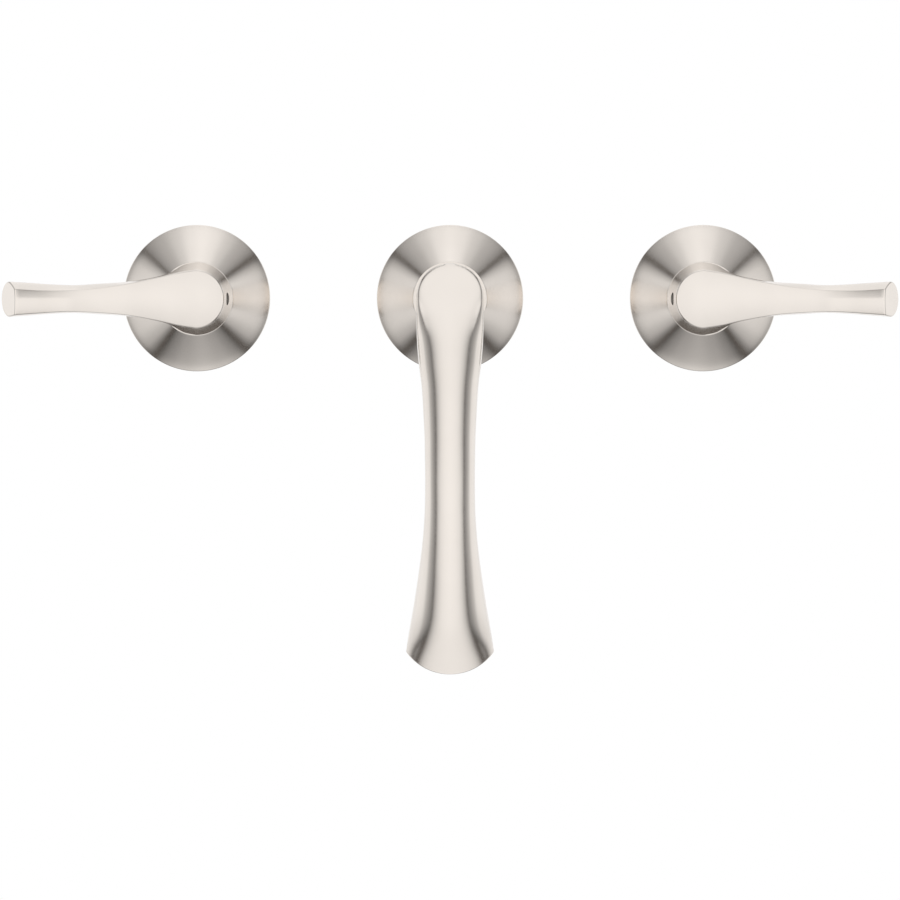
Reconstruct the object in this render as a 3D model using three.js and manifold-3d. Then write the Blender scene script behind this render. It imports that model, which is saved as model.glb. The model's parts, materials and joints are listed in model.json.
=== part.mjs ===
// Wall mounted bath faucet: two lever handles with ceramic disc valves and a downturned spout between them.
// Millimetres, +Z up. The finished wall is the plane y = 0. The trim stands out towards -Y, and the rough-in
// lies behind the wall, towards +Y. The origin is the centre of the spout's escutcheon on the wall.
import * as THREE from 'three';
import { mergeVertices } from 'three/addons/utils/BufferGeometryUtils.js';
import Module from 'manifold-3d';

const wasm = await Module();
wasm.setup();

// Driving dimensions
const CENTRES = 101.6;            // from the spout's axis to each handle's axis: half of 8 inches
const GAP = 0.3;                  // clearance between neighbouring pieces
const BELL_R = 29.4;              // escutcheon radius on the wall
const COLLAR_R = 14.7;            // escutcheon radius at its front face
const COLLAR_D = 18.5;            // distance from the wall to that front face
const BELL_EDGE = 0.9;            // height of the bell's upright rim
const BELL_WALL = 1.9;
const BELL_INSET = 1.14;          // the inside's step in from the outside, besides the shift along the axis
const COLLAR_THICK = 2.2;
const BELL_FLARE = 1.12;          // 1 would be a straight cone
const HUB_D = 19.2;               // base of a lever's hub, from the wall
const HUB_CREASE_R = 11.6;        // edge of the hub's front face
const HUB_CREASE_D = 35;
const HUB_DOME = 1.8;             // rise of the hub's front face at its centre
const ARM_AXIS_D = 29;            // the arm's axis, from the wall, where it leaves the hub
const ARM_RISE_U = 12;            // the arm starts to bend away from the wall here
const ARM_TIP_U = 74.3;           // centre of the end face, from the hub's axis
const ARM_TIP_R = 7.05;
const ARM_TIP_TILT = THREE.MathUtils.degToRad(25);
const HEAD_R = 13.1;              // radius of the spout's round stub
const HEAD_RISE = 1.6;            // how far the stub has risen at its face
const HEAD_D = 100;               // distance from the wall at which it has
const SPOUT_REACH = 126;          // from the wall to the middle of the outlet
const MOUTH_A = 17.2;             // half-width of the mouth
const LIP_ARCH_R = 22.5;          // radius of the lip, seen from the front
const LIP_Z = -145.2;             // lowest point of the lip
const WATERWAY_R = 5.5;
const TUBE_R = 6.35;              // half-inch copper tube
const TUBE_WALL = 1;
const PORT_Y = 28;                // depth of the manifold behind the wall
const SIDES = 16;
const BELL_SIDES = 24;
const FLANGE_Y = 54;              // front face of the rear mounting flanges
const FLANGE_THICK = 4;

// Geometry helpers

function cleaned(geometry) {
  const bare = geometry.index ? geometry.clone() : geometry;
  bare.deleteAttribute('normal');
  bare.deleteAttribute('uv');
  const merged = mergeVertices(bare, 1e-4);
  const { array } = merged.index;
  const kept = [];
  for (let i = 0; i < array.length; i += 3) {
    const [a, b, c] = [array[i], array[i + 1], array[i + 2]];
    if (a !== b && b !== c && c !== a) {
      kept.push(a, b, c);
    }
  }
  merged.setIndex(kept);
  return merged;
}

function signedVolume(geometry) {
  const position = geometry.attributes.position;
  const [a, b, c] = [new THREE.Vector3(), new THREE.Vector3(), new THREE.Vector3()];
  const { array } = geometry.index;
  let sum = 0;
  for (let i = 0; i < array.length; i += 3) {
    a.fromBufferAttribute(position, array[i]);
    b.fromBufferAttribute(position, array[i + 1]);
    c.fromBufferAttribute(position, array[i + 2]);
    sum += a.dot(b.cross(c));
  }
  return sum / 6;
}

function solid(geometry) {
  const merged = cleaned(geometry);
  const triVerts = Uint32Array.from(merged.index.array);
  if (signedVolume(merged) < 0) {
    for (let i = 0; i < triVerts.length; i += 3) {
      [triVerts[i + 1], triVerts[i + 2]] = [triVerts[i + 2], triVerts[i + 1]];
    }
  }
  const vertProperties = Float32Array.from(merged.attributes.position.array);
  return new wasm.Manifold(new wasm.Mesh({ numProp: 3, vertProperties, triVerts }));
}

function geometryOf(manifold) {
  const mesh = manifold.getMesh();
  const geometry = new THREE.BufferGeometry();
  geometry.setAttribute('position', new THREE.BufferAttribute(mesh.vertProperties, 3));
  geometry.setIndex(new THREE.BufferAttribute(mesh.triVerts, 1));
  geometry.computeVertexNormals();
  return geometry;
}

const joined = (first, ...rest) => rest.reduce((whole, next) => whole.add(next), first);
const cut = (body, ...tools) => tools.reduce((left, tool) => left.subtract(tool), body);

// A body of revolution about the Y axis, from [radius, y] points.
function turned(points, sides = SIDES) {
  const profile = points.map(([radius, y]) => new THREE.Vector2(radius, y));
  return solid(new THREE.LatheGeometry(profile, sides));
}

function rodY(radius, y0, y1, x = 0, z = 0, sides = SIDES) {
  const geometry = new THREE.CylinderGeometry(radius, radius, y1 - y0, sides);
  return solid(geometry.translate(x, (y0 + y1) / 2, z));
}

function rodX(radius, x0, x1, y = 0, z = 0, sides = SIDES) {
  const geometry = new THREE.CylinderGeometry(radius, radius, Math.abs(x1 - x0), sides);
  return solid(geometry.rotateZ(Math.PI / 2).translate((x0 + x1) / 2, y, z));
}

function rodZ(radius, z0, z1, x = 0, y = 0, sides = SIDES) {
  const geometry = new THREE.CylinderGeometry(radius, radius, z1 - z0, sides);
  return solid(geometry.rotateX(Math.PI / 2).translate(x, y, (z0 + z1) / 2));
}

function block(x0, x1, y0, y1, z0, z1) {
  const geometry = new THREE.BoxGeometry(x1 - x0, y1 - y0, z1 - z0);
  return solid(geometry.translate((x0 + x1) / 2, (y0 + y1) / 2, (z0 + z1) / 2));
}

const ring = (inner, outer, y0, y1, sides = SIDES) =>
  turned([[inner, y0], [outer, y0], [outer, y1], [inner, y1], [inner, y0]], sides);

// An O-ring about the Y axis.
function oRing(radius, thick, y) {
  const geometry = new THREE.TorusGeometry(radius, thick, 6, SIDES);
  return solid(geometry.rotateX(Math.PI / 2).translate(0, y, 0));
}

// Part of a ring about the Y axis, from one angle through a turn, both in degrees from +X towards +Z
function sector(inner, outer, y0, y1, from, turn) {
  const start = THREE.MathUtils.degToRad(from);
  const end = THREE.MathUtils.degToRad(from + turn);
  const shape = new THREE.Shape();
  shape.absarc(0, 0, outer, start, end, false);
  shape.absarc(0, 0, inner, end, start, true);
  const curveSegments = Math.max(3, Math.round(turn / 18));
  const geometry = new THREE.ExtrudeGeometry(shape, { depth: y1 - y0, bevelEnabled: false, curveSegments });
  return solid(geometry.rotateX(Math.PI / 2).translate(0, y1, 0));
}

const smooth = (from, to, value) => THREE.MathUtils.smoothstep(value, from, to);

// A smooth curve through [place, value] points, read at any place.
function along(points, place) {
  const last = points.length - 1;
  let i = 0;
  while (i < last - 1 && place > points[i + 1][0]) {
    i += 1;
  }
  const slope = (k) => {
    const [before, after] = [points[Math.max(k - 1, 0)], points[Math.min(k + 1, last)]];
    return (after[1] - before[1]) / (after[0] - before[0]);
  };
  const [[x0, v0], [x1, v1]] = [points[i], points[i + 1]];
  const span = x1 - x0;
  const t = THREE.MathUtils.clamp((place - x0) / span, 0, 1);
  const [t2, t3] = [t * t, t * t * t];
  const start = (2 * t3 - 3 * t2 + 1) * v0 + (t3 - 2 * t2 + t) * span * slope(i);
  return start + (3 * t2 - 2 * t3) * v1 + (t3 - t2) * span * slope(i + 1);
}

// The same points joined by straight lines
function linear(points, place) {
  const i = Math.max(points.findIndex(([x]) => x >= place), 1);
  const [[x0, v0], [x1, v1]] = [points[i - 1], points[i]];
  return THREE.MathUtils.mapLinear(place, x0, x1, v0, v1);
}

// A closed body made from a cylinder whose rings are moved: place(v, angle, rho) gives the point at v along
// the body, at an angle round it, and rho is 1 on the skin and 0 in the middle of an end face.
function shaped(rings, sides, place) {
  const geometry = new THREE.CylinderGeometry(1, 1, 1, sides, rings);
  const position = geometry.attributes.position;
  const point = new THREE.Vector3();
  for (let i = 0; i < position.count; i += 1) {
    point.fromBufferAttribute(position, i);
    const rho = Math.hypot(point.x, point.z) > 0.5 ? 1 : 0;
    const moved = place(0.5 - point.y, Math.atan2(point.x, point.z), rho);
    position.setXYZ(i, moved.x, moved.y, moved.z);
  }
  return solid(geometry);
}

// The bell: escutcheon of a handle or of the spout

function bellRadius(depth) {
  const rise = (depth - BELL_EDGE) / (COLLAR_D - BELL_EDGE);
  return BELL_R - (BELL_R - COLLAR_R) * Math.max(rise, 0) ** (1 / BELL_FLARE);
}

function bell(bore) {
  const steps = 3;
  const front = COLLAR_D - COLLAR_THICK;
  const outer = [];
  const inner = [];
  for (let i = 0; i <= steps; i += 1) {
    const depth = BELL_EDGE + (COLLAR_D - BELL_EDGE) * (i / steps);
    outer.push([bellRadius(depth), -depth]);
    const inside = front * (1 - i / steps);
    inner.push([bellRadius(inside + BELL_WALL) - BELL_INSET, -inside]);
  }
  const rim = [BELL_R, 0];
  return turned([rim, ...outer, [bore, -COLLAR_D], [bore, -front], ...inner, rim], BELL_SIDES);
}

const GASKET = { inner: 22.6, outer: 25.4, thick: 1.4 };

const gasket = () => ring(GASKET.inner, GASKET.outer, -GASKET.thick, 0, BELL_SIDES);

// The lever, in u (along the arm from the hub's axis), w (up) and d (away from the wall)

// Half-widths of the front face above the arm's axis and below it, and of the arm; then the depth of its back
const EDGE_ABOVE = [
  [0, HUB_CREASE_R], [7, 10.5], [14.5, 8.8], [28.4, 6], [38.7, 4.5], [51.7, 3.5], [64, 3.5], [ARM_TIP_U, 4.2],
];
const EDGE_BELOW = [
  [0, HUB_CREASE_R], [7, 10.5], [14.5, 8.8], [28.4, 6.4], [38.7, 5.5], [51.7, 5], [64, 5.6], [ARM_TIP_U, 6.3],
];
const SIDE_HALF = [
  [0, COLLAR_R], [5, 13.6], [10, 10.8], [14.5, 9.2], [20.7, 7.9], [29, 6.75], [38.5, 6.1], [48, 5.55],
  [57.5, 5.9], [67, 6.6], [ARM_TIP_U, ARM_TIP_R],
];
const UNDER_HALF = [[8, 9.7], [13, 8.9], [18, 7.2], [24, 6.3], [31, 6], [48, 5.55], [57.5, 5.9], [67, 6.6],
  [ARM_TIP_U, ARM_TIP_R]];
const FACE_SHARE = 0.4;           // share of a half-section that is front face
const WALL_SHARE = 0.36;          // share of it that is side wall
const ARM_CREASE = 0.9;           // how far out the face's edges are, over its middle
const WALL_TURN = 0.2;            // how far the side wall turns in behind the arm, in half turns
const BLEND_U = [6, 36];          // the hub's section turns into the arm's between these places

// The arm's half-section: a nearly flat face, a side that rounds over to the widest place, and a round back
function armSection(u, { edge, side }, { face, wall, under }) {
  if (wall < 0.5) {
    const over = 2 * wall;
    const crease = side * ARM_CREASE;
    return {
      w: edge * face + (side - edge) * (1 - (1 - over) ** 1.5),
      h: over > 0 ? crease * (1 - over) : side + (crease - side) * face ** 2,
    };
  }
  const turn = (0.5 + WALL_TURN * (2 * wall - 1) + (0.5 - WALL_TURN) * under) * Math.PI;
  return { w: side * Math.sin(turn), h: along(UNDER_HALF, u) * Math.cos(turn) };
}

// The half-section above or below the arm's axis: q runs from the middle of the front to that of the back
function leverSection(u, q, edges) {
  const face = Math.min(q / FACE_SHARE, 1);
  const wall = THREE.MathUtils.clamp((q - FACE_SHARE) / WALL_SHARE, 0, 1);
  const under = Math.max((q - FACE_SHARE - WALL_SHARE) / (1 - FACE_SHARE - WALL_SHARE), 0);
  const edge = along(edges, u);
  const side = along(SIDE_HALF, u);
  const hub = {
    w: (edge * face + (side - edge) * wall) * (1 - under),
    d: HUB_CREASE_D + HUB_DOME * (1 - face * face) + (HUB_D - HUB_CREASE_D) * wall,
  };
  const arm = armSection(u, { edge, side }, { face, wall, under });
  const blend = smooth(...BLEND_U, u);
  return {
    w: THREE.MathUtils.lerp(hub.w, arm.w, blend),
    h: THREE.MathUtils.lerp(hub.d - ARM_AXIS_D, arm.h, blend),
  };
}

function leverPoint(u, q, hand, edges) {
  const bend = Math.tan(ARM_TIP_TILT) / (ARM_TIP_U - ARM_RISE_U);
  const past = Math.max(u - ARM_RISE_U, 0);
  const tilt = Math.atan(bend * past);
  const { w, h } = leverSection(u, q, edges);
  const depth = ARM_AXIS_D + 0.5 * bend * past * past + h * Math.cos(tilt);
  return new THREE.Vector3(hand * (u - h * Math.sin(tilt)), -depth, w);
}

// One ring of the lever runs up the arm, round the hub and back to the tip, and then across the end face.
function leverShape(hand) {
  const armSteps = 10;
  const turnSteps = 8;
  const faceSteps = 2;
  const loop = 2 * armSteps + turnSteps + faceSteps;
  return shaped(12, loop, (q, angle) => {
    const step = Math.round(((angle / (2 * Math.PI) + 1) % 1) * loop) % loop;
    if (step <= armSteps) {
      return leverPoint(ARM_TIP_U * (1 - step / armSteps), q, hand, EDGE_ABOVE);
    }
    if (step < armSteps + turnSteps) {
      const round = (Math.PI * (step - armSteps)) / turnSteps;
      const half = leverPoint(0, q, hand, EDGE_ABOVE);
      return new THREE.Vector3(-hand * half.z * Math.sin(round), half.y, half.z * Math.cos(round));
    }
    const back = Math.min(step - armSteps - turnSteps, armSteps);
    const below = leverPoint((ARM_TIP_U * back) / armSteps, q, hand, EDGE_BELOW);
    below.z *= -1;
    const across = Math.max(step - 2 * armSteps - turnSteps, 0) / faceSteps;
    return across > 0 ? below.lerp(leverPoint(ARM_TIP_U, q, hand, EDGE_ABOVE), across) : below;
  });
}

const CUT_PAST = 1;               // how far a cutting tool runs past the face it opens
const SCREW_D = 28.5;             // axis of a lever's set screw, from the wall
const SCREW_R = 2.3;
const SCREW_SIDES = 12;
const SCREW_HOLE = [8, 16];       // its hole, from the hub's axis
const SCREW_ENDS = [9.8, 12.2];
const HEX_R = 1.2;                // hexagonal socket in a set screw
const HEX_FROM = 10.8;
const SOCKET = { radius: 9.8, front: -33 };      // pocket in the hub for the adapter
const RECESS = { radius: 12.4, front: -22.8 };   // wider recess over the escutcheon nut

function lever(hand) {
  const [near, far] = SCREW_HOLE;
  return cut(
    leverShape(hand),
    rodY(RECESS.radius, RECESS.front, -HUB_D + CUT_PAST),
    rodY(SOCKET.radius, SOCKET.front, -HUB_D + CUT_PAST),
    rodX(SCREW_R + GAP, -hand * near, -hand * far, -SCREW_D, 0, SCREW_SIDES),
  );
}

function setScrew(hand) {
  const [near, far] = SCREW_ENDS;
  return cut(
    rodX(SCREW_R, -hand * near, -hand * far, -SCREW_D, 0, SCREW_SIDES),
    rodX(HEX_R, -hand * HEX_FROM, -hand * (far + CUT_PAST), -SCREW_D, 0, 6),
  );
}

// Handle train and cartridge, all about the Y axis. Each piece lies between its front and its back, along Y.

const ADAPTER = { bore: 4.4, radius: 9.3, front: -32.4, back: -23.4 };
const NUT = { bore: 9.5, radius: 12, front: -21.9, slotHalf: 1.2, slotDepth: 1.3 };
const BONNET = { hexR: 15.6, hexFront: -11.5, hexBack: -0.5, tubeR: 9.1, front: -22.2, bore: 7.8 };
const BONNET_SEAT = { radius: 13.3, front: -8.6 };   // room for the valve's neck

const adapter = () => ring(ADAPTER.bore, ADAPTER.radius, ADAPTER.front, ADAPTER.back);

// A nut with a spanner slot across its front
function escutcheonNut() {
  const body = ring(NUT.bore, NUT.radius, NUT.front, -COLLAR_D - GAP);
  const wide = NUT.radius + CUT_PAST;
  const slotBack = NUT.front + NUT.slotDepth;
  return cut(body, block(-NUT.slotHalf, NUT.slotHalf, NUT.front - CUT_PAST, slotBack, -wide, wide));
}

function hexY(radius, front, back) {
  return rodY(radius, front, back, 0, 0, 6);
}

function bonnetNut() {
  const hex = hexY(BONNET.hexR, BONNET.hexFront, BONNET.hexBack);
  const body = joined(hex, rodY(BONNET.tubeR, BONNET.front, BONNET.hexFront + 0.5));
  const bore = rodY(BONNET.bore, BONNET.front - CUT_PAST, 0);
  return cut(body, bore, rodY(BONNET_SEAT.radius, BONNET_SEAT.front, 0));
}

const STOP_Y = [8.2, 11.8];       // stem's stop lug, along Y
const LUG_R = [4.3, 6.9];
const LEDGE_R = [5.1, 7.6];       // ledge inside the housing that stops it
const LEDGE_OVER = 0.4;           // how far the ledge reaches past the lug at each end
const LUG_HALF = 25;              // half the lug's angle, degrees
const TRAVEL = 90;                // the valve turns a quarter
const STOP_SLACK = 2;

// The stop lug points up when the valve is shut, and turns to the faucet's outer side as it opens.
function stopLug() {
  return sector(...LUG_R, ...STOP_Y, 90 - LUG_HALF, 2 * LUG_HALF);
}

function stopLedge(hand) {
  const free = 2 * LUG_HALF + TRAVEL + 2 * STOP_SLACK;
  const start = hand < 0 ? 90 - LUG_HALF - STOP_SLACK : 90 + LUG_HALF + STOP_SLACK - free;
  const [front, back] = STOP_Y;
  return sector(...LEDGE_R, front - LEDGE_OVER, back + LEDGE_OVER, start + free, 360 - free);
}

const STEM_R = 4.6;
const STEM_FRONT = -31.6;
const RETAINER = { radius: 3.9, front: -8.9, back: -7.3 };    // groove for the retaining ring
const SEAL = { radius: 3.2, front: 0, back: 2.2 };            // groove for the O-ring
const DRIVE = { radius: 6.9, front: 24.5, back: 29.6 };       // foot of the stem
const TANG = { long: 5.4, half: 1.5, back: 31.6 };            // drives the moving disc

function stem() {
  const body = turned([
    [0, STEM_FRONT], [4, STEM_FRONT], [4, -13], [STEM_R, -13],
    [STEM_R, RETAINER.front], [RETAINER.radius, RETAINER.front],
    [RETAINER.radius, RETAINER.back], [STEM_R, RETAINER.back],
    [STEM_R, SEAL.front], [SEAL.radius, SEAL.front], [SEAL.radius, SEAL.back], [STEM_R, SEAL.back],
    [STEM_R, DRIVE.front], [DRIVE.radius, DRIVE.front], [DRIVE.radius, DRIVE.back], [0, DRIVE.back],
  ]);
  const tang = block(-TANG.long, TANG.long, DRIVE.back - 0.6, TANG.back, -TANG.half, TANG.half);
  return joined(body, tang, stopLug());
}

const STEM_RING = { radius: 3.95, thick: 0.6 };

const stemORing = () => oRing(STEM_RING.radius, STEM_RING.thick, (SEAL.front + SEAL.back) / 2);

const CLIP = { bore: 4.15, radius: 6.4, front: -8.6, back: -7.6, gapHalf: 1.6, sides: 20 };

function retainingRing() {
  const whole = ring(CLIP.bore, CLIP.radius, CLIP.front, CLIP.back, CLIP.sides);
  const gap = block(0, CLIP.radius + CUT_PAST, CLIP.front - 1, CLIP.back + 1, -CLIP.gapHalf, CLIP.gapHalf);
  return cut(whole, gap);
}

const HOUSING = { bore: 4.9, neckR: 7.2, radius: 9.6, chamberR: 7.3, front: -6.8, shoulder: 1.5, back: 36.6 };
const CHAMBER_FRONT = 7;
const WINDOW = { front: 14.5, back: 23.8, half: 2.8 };

// A sleeve with four windows, through which the water leaves the discs
function cartridgeHousing(hand) {
  const { bore, neckR, radius, chamberR, front, shoulder, back } = HOUSING;
  const body = turned([
    [bore, front], [neckR, front], [neckR, shoulder], [radius, shoulder], [radius, back], [chamberR, back],
    [chamberR, CHAMBER_FRONT], [bore, CHAMBER_FRONT], [bore, front],
  ]);
  const wide = radius + CUT_PAST;
  const windowX = block(-wide, wide, WINDOW.front, WINDOW.back, -WINDOW.half, WINDOW.half);
  const windowZ = block(-WINDOW.half, WINDOW.half, WINDOW.front, WINDOW.back, -wide, wide);
  return joined(cut(body, windowX, windowZ), stopLedge(hand));
}

const DISC_R = 7;
const DISC_PORT_R = 1.9;
const DISC_PORT_AT = 4.3;         // from the disc's centre to the middle of a port
const MOVING_DISC_Y = [29.9, 33];
const FIXED_DISC_Y = [33.3, 36.4];
const SLOT = { long: 5.8, half: 1.8, back: 31.9 };

const discPort = ([front, back], x, z) => rodY(DISC_PORT_R, front - CUT_PAST, back + CUT_PAST, x, z, 12);

// Closed, the moving disc's ports are a quarter turn from the fixed disc's.
function movingDisc() {
  const slot = block(-SLOT.long, SLOT.long, MOVING_DISC_Y[0] - CUT_PAST, SLOT.back, -SLOT.half, SLOT.half);
  const ports = [-1, 1].map((side) => discPort(MOVING_DISC_Y, 0, side * DISC_PORT_AT));
  return cut(rodY(DISC_R, ...MOVING_DISC_Y), slot, ...ports);
}

function fixedDisc() {
  const ports = [-1, 1].map((side) => discPort(FIXED_DISC_Y, side * DISC_PORT_AT, 0));
  return cut(rodY(DISC_R, ...FIXED_DISC_Y), ...ports);
}

const NECK = { radius: 13, front: -8, back: 16 };
const BARREL = { radius: 15.5, front: 14 };
const INLET_Y = 44;
const INLET = { radius: 11, end: -36, bore: 5.5, boreEnd: -20, socketR: 8.2, socketEnd: -16 };
const OUTLET_END = 25;            // end of the outlet boss, from the valve's axis
const OUTLET_BOSS_R = 9.5;
const OUTLET_SOCKET_FROM = 13;
const CHAMBER = { radius: 9.9, back: 38.2 };        // holds the cartridge
const WELL = { radius: 6.9, back: 50 };             // behind the cartridge's seat
const FLANGE_HALF = 14;
const FLANGE_HOLE_R = 2.6;
const VALVE_FLANGE = [27, 22];    // half-height, and the screws' distance from the middle
const TEE_FLANGE = [22, 16];
const SEAT_SEAL = { inner: 6.9, outer: 9.3, front: 36.9, back: 37.9 };
const PORT_LENGTH = 20;           // of the outlet's bore, from the valve's axis

const seatSeal = () => ring(SEAT_SEAL.inner, SEAT_SEAL.outer, SEAT_SEAL.front, SEAT_SEAL.back);

// A plate across the back of a casting, with a screw hole near each end
function mountingFlange(half, screwAt) {
  const back = FLANGE_Y + FLANGE_THICK;
  const hole = (z) => rodY(FLANGE_HOLE_R, FLANGE_Y - CUT_PAST, back + CUT_PAST, 0, z, 12);
  return cut(block(-FLANGE_HALF, FLANGE_HALF, FLANGE_Y, back, -half, half), hole(screwAt), hole(-screwAt));
}

function valveBody(inward) {
  const body = joined(
    rodY(NECK.radius, NECK.front, NECK.back),
    rodY(BARREL.radius, BARREL.front, FLANGE_Y + 1),
    rodX(OUTLET_BOSS_R, 0, inward * OUTLET_END, PORT_Y, 0),
    rodZ(INLET.radius, INLET.end, 0, 0, INLET_Y),
    mountingFlange(...VALVE_FLANGE),
  );
  return cut(
    body,
    rodY(CHAMBER.radius, NECK.front - CUT_PAST, CHAMBER.back),
    rodY(WELL.radius, CHAMBER.back - 0.2, WELL.back),
    rodX(TUBE_R - TUBE_WALL, 0, inward * PORT_LENGTH, PORT_Y, 0),
    rodX(TUBE_R + GAP, inward * OUTLET_SOCKET_FROM, inward * (OUTLET_END + CUT_PAST), PORT_Y, 0),
    rodZ(INLET.bore, INLET.boreEnd, 0, 0, INLET_Y),
    rodZ(INLET.socketR, INLET.end - CUT_PAST, INLET.socketEnd, 0, INLET_Y),
  );
}

const NIPPLE = {
  topR: 7.9, top: -16.3, hexR: 12.7, hexTop: -36.3, hexEnd: -43.3, radius: 10.4, end: -62, bore: 6,
};

function inletNipple() {
  const { topR, top, hexR, hexTop, hexEnd, radius, end, bore } = NIPPLE;
  const middle = (hexTop + hexEnd) / 2;
  const body = joined(
    rodZ(topR, middle, top, 0, INLET_Y),
    rodZ(hexR, hexEnd, hexTop, 0, INLET_Y, 6),
    rodZ(radius, end, middle, 0, INLET_Y),
  );
  return cut(body, rodZ(bore, end - CUT_PAST, top + CUT_PAST, 0, INLET_Y));
}

// The spout

const SPOUT_END_Z = LIP_Z - 6;
const SPOUT_ROOT_Y = -COLLAR_D - GAP;

// The spout's axis, as [y, z]: nearly level along the stub, then down the tongue
const AXIS_KNOTS = [
  [SPOUT_ROOT_Y, 0], [-40, 0.7], [-62, 1.3], [-86, 1.4], [-99.5, -2.8], [-108.6, -12.5], [-113.5, -26],
  [-117.5, -40], [-121, -57], [-123.3, -78], [-124.2, -97], [-124.6, -112], [-SPOUT_REACH, -127],
  [-126.6, -140], [-127, SPOUT_END_Z],
];

// By the drop below the spout's root: half-width, depth of the face's middle, how far the face bulges
// (front depth over half-width), and half-depth of the back
const SPOUT_HALF = [
  [-4, HEAD_R], [13, HEAD_R], [24, 12.35], [33, 11.2], [44, 10.5], [56, 9.95], [80, 9.88], [96, 11],
  [116, 13.75], [132, 16.5], [137, MOUTH_A], [-SPOUT_END_Z, 18.4],
];
const FACE_DEPTH = [
  [-16, 114], [0, 118], [30, 125.5], [57, 132], [80, 135.6], [97, 138], [110, 140.2], [125, 143.9],
  [138, 149], [152, 156],
];
const BULGE_SHARE = [
  [-14, 0.08], [-7, 0.12], [0, 0.22], [7, 0.48], [15, 0.84], [23, 0.96], [39, 1.02], [70, 1], [97, 1.12],
  [112, 1.2], [118, 1.2], [124, 1.12], [132, 0.78], [137, 0.55], [142, 0.4], [-SPOUT_END_Z, 0.3],
];
const BACK_HALF = [
  [-4, 13.1], [10, 12.6], [26, 11], [57, 9.9], [97, 10.3], [116, 11.6], [132, 12.4], [150, 12.6],
];
const CREASE_SOFT = 0.6;          // roundness of the edge between the face and the sides
const SQUARE_UNTIL = 0.12;        // the sections turn from the wall's plane to the axis over this share

// Axis knots by the distance along the axis
const AXIS_PLACES = [0];
for (let i = 1; i < AXIS_KNOTS.length; i += 1) {
  const [[y0, z0], [y1, z1]] = [AXIS_KNOTS[i - 1], AXIS_KNOTS[i]];
  AXIS_PLACES.push(AXIS_PLACES[i - 1] + Math.hypot(y1 - y0, z1 - z0));
}
const SPOUT_LENGTH = AXIS_PLACES.at(-1);
const AXIS_Y = AXIS_KNOTS.map(([y], i) => [AXIS_PLACES[i], y]);
const AXIS_Z = AXIS_KNOTS.map(([, z], i) => [AXIS_PLACES[i], z]);

function axisPoint(v) {
  const place = THREE.MathUtils.clamp(v, 0, 1) * SPOUT_LENGTH;
  return new THREE.Vector3(0, along(AXIS_Y, place), along(AXIS_Z, place));
}

// Share of the spout's length at which its axis has dropped this far
function shareAt(drop) {
  let [low, high] = [0.5, 1];
  for (let i = 0; i < 24; i += 1) {
    const middle = (low + high) / 2;
    if (-axisPoint(middle).z < drop) {
      low = middle;
    } else {
      high = middle;
    }
  }
  return low;
}

// Point of the spout's axis at the share v of its length, and the unit direction outward there
function axisFrame(v) {
  const step = 0.004;
  const tangent = axisPoint(v + step).sub(axisPoint(v - step)).normalize();
  const square = new THREE.Vector3(0, -1, 0).lerp(tangent, smooth(0, SQUARE_UNTIL, v)).normalize();
  return { point: axisPoint(v), outward: new THREE.Vector3(0, square.z, -square.y) };
}

// The point at a distance sideways and outward from the spout's axis
function onSpout({ point, outward }, sideways, out) {
  const moved = point.clone().addScaledVector(outward, out);
  moved.x += sideways;
  return moved;
}

const softMax = (a, b, soft) =>
  Math.max(a, b) + (soft > 0 ? Math.max(soft - Math.abs(a - b), 0) ** 2 / (4 * soft) : 0);

// How far a point is outside the face and the outline that the spout has from the front
function beyondSkin({ x, y, z }) {
  const rise = HEAD_RISE * smooth(COLLAR_D, HEAD_D, -y);
  const inHead = z > rise;
  const half = inHead ? HEAD_R : along(SPOUT_HALF, -z);
  const share = along(BULGE_SHARE, -z);
  const outline = inHead ? Math.hypot(x, z - rise) - HEAD_R : Math.abs(x) - half;
  const bulge = share * half * (1 - Math.sqrt(Math.max(1 - (x / half) ** 2, 0)));
  const face = -y - along(FACE_DEPTH, -z) + bulge;
  return softMax(outline, face, CREASE_SOFT * (1 - smooth(0.45, 0.85, share)));
}

// Distance from the axis to the skin, straight out at an angle round the spout
function skinReach(frame, angle) {
  let [low, high] = [0, 50];
  for (let i = 0; i < 24; i += 1) {
    const middle = (low + high) / 2;
    if (beyondSkin(onSpout(frame, middle * Math.sin(angle), middle * Math.cos(angle))) < 0) {
      low = middle;
    } else {
      high = middle;
    }
  }
  return low;
}

function spoutSkin(v, angle, inset, rho) {
  const frame = axisFrame(v);
  if (Math.cos(angle) > 1e-6) {
    const reach = rho * (skinReach(frame, angle) - inset);
    return onSpout(frame, reach * Math.sin(angle), reach * Math.cos(angle));
  }
  const drop = -frame.point.z;
  const [half, back] = [along(SPOUT_HALF, drop), along(BACK_HALF, drop)];
  return onSpout(frame, rho * (half - inset) * Math.sin(angle), rho * (back - inset) * Math.cos(angle));
}

// Everything below the arched lip, in front of the outlet's middle, and below the mouth's corners behind it
function mouthCut() {
  const wide = 30;
  const low = LIP_Z - 20;
  const archZ = LIP_Z + LIP_ARCH_R;
  const cornerZ = archZ - Math.sqrt(LIP_ARCH_R ** 2 - MOUTH_A ** 2);
  const front = cut(
    block(-wide, wide, -SPOUT_REACH - wide, -SPOUT_REACH, low, archZ - 8),
    rodY(LIP_ARCH_R, -SPOUT_REACH - wide - CUT_PAST, -SPOUT_REACH + CUT_PAST, 0, archZ, 64),
  );
  return joined(front, block(-wide, wide, -SPOUT_REACH, -SPOUT_REACH + wide, low, cornerZ));
}

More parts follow.
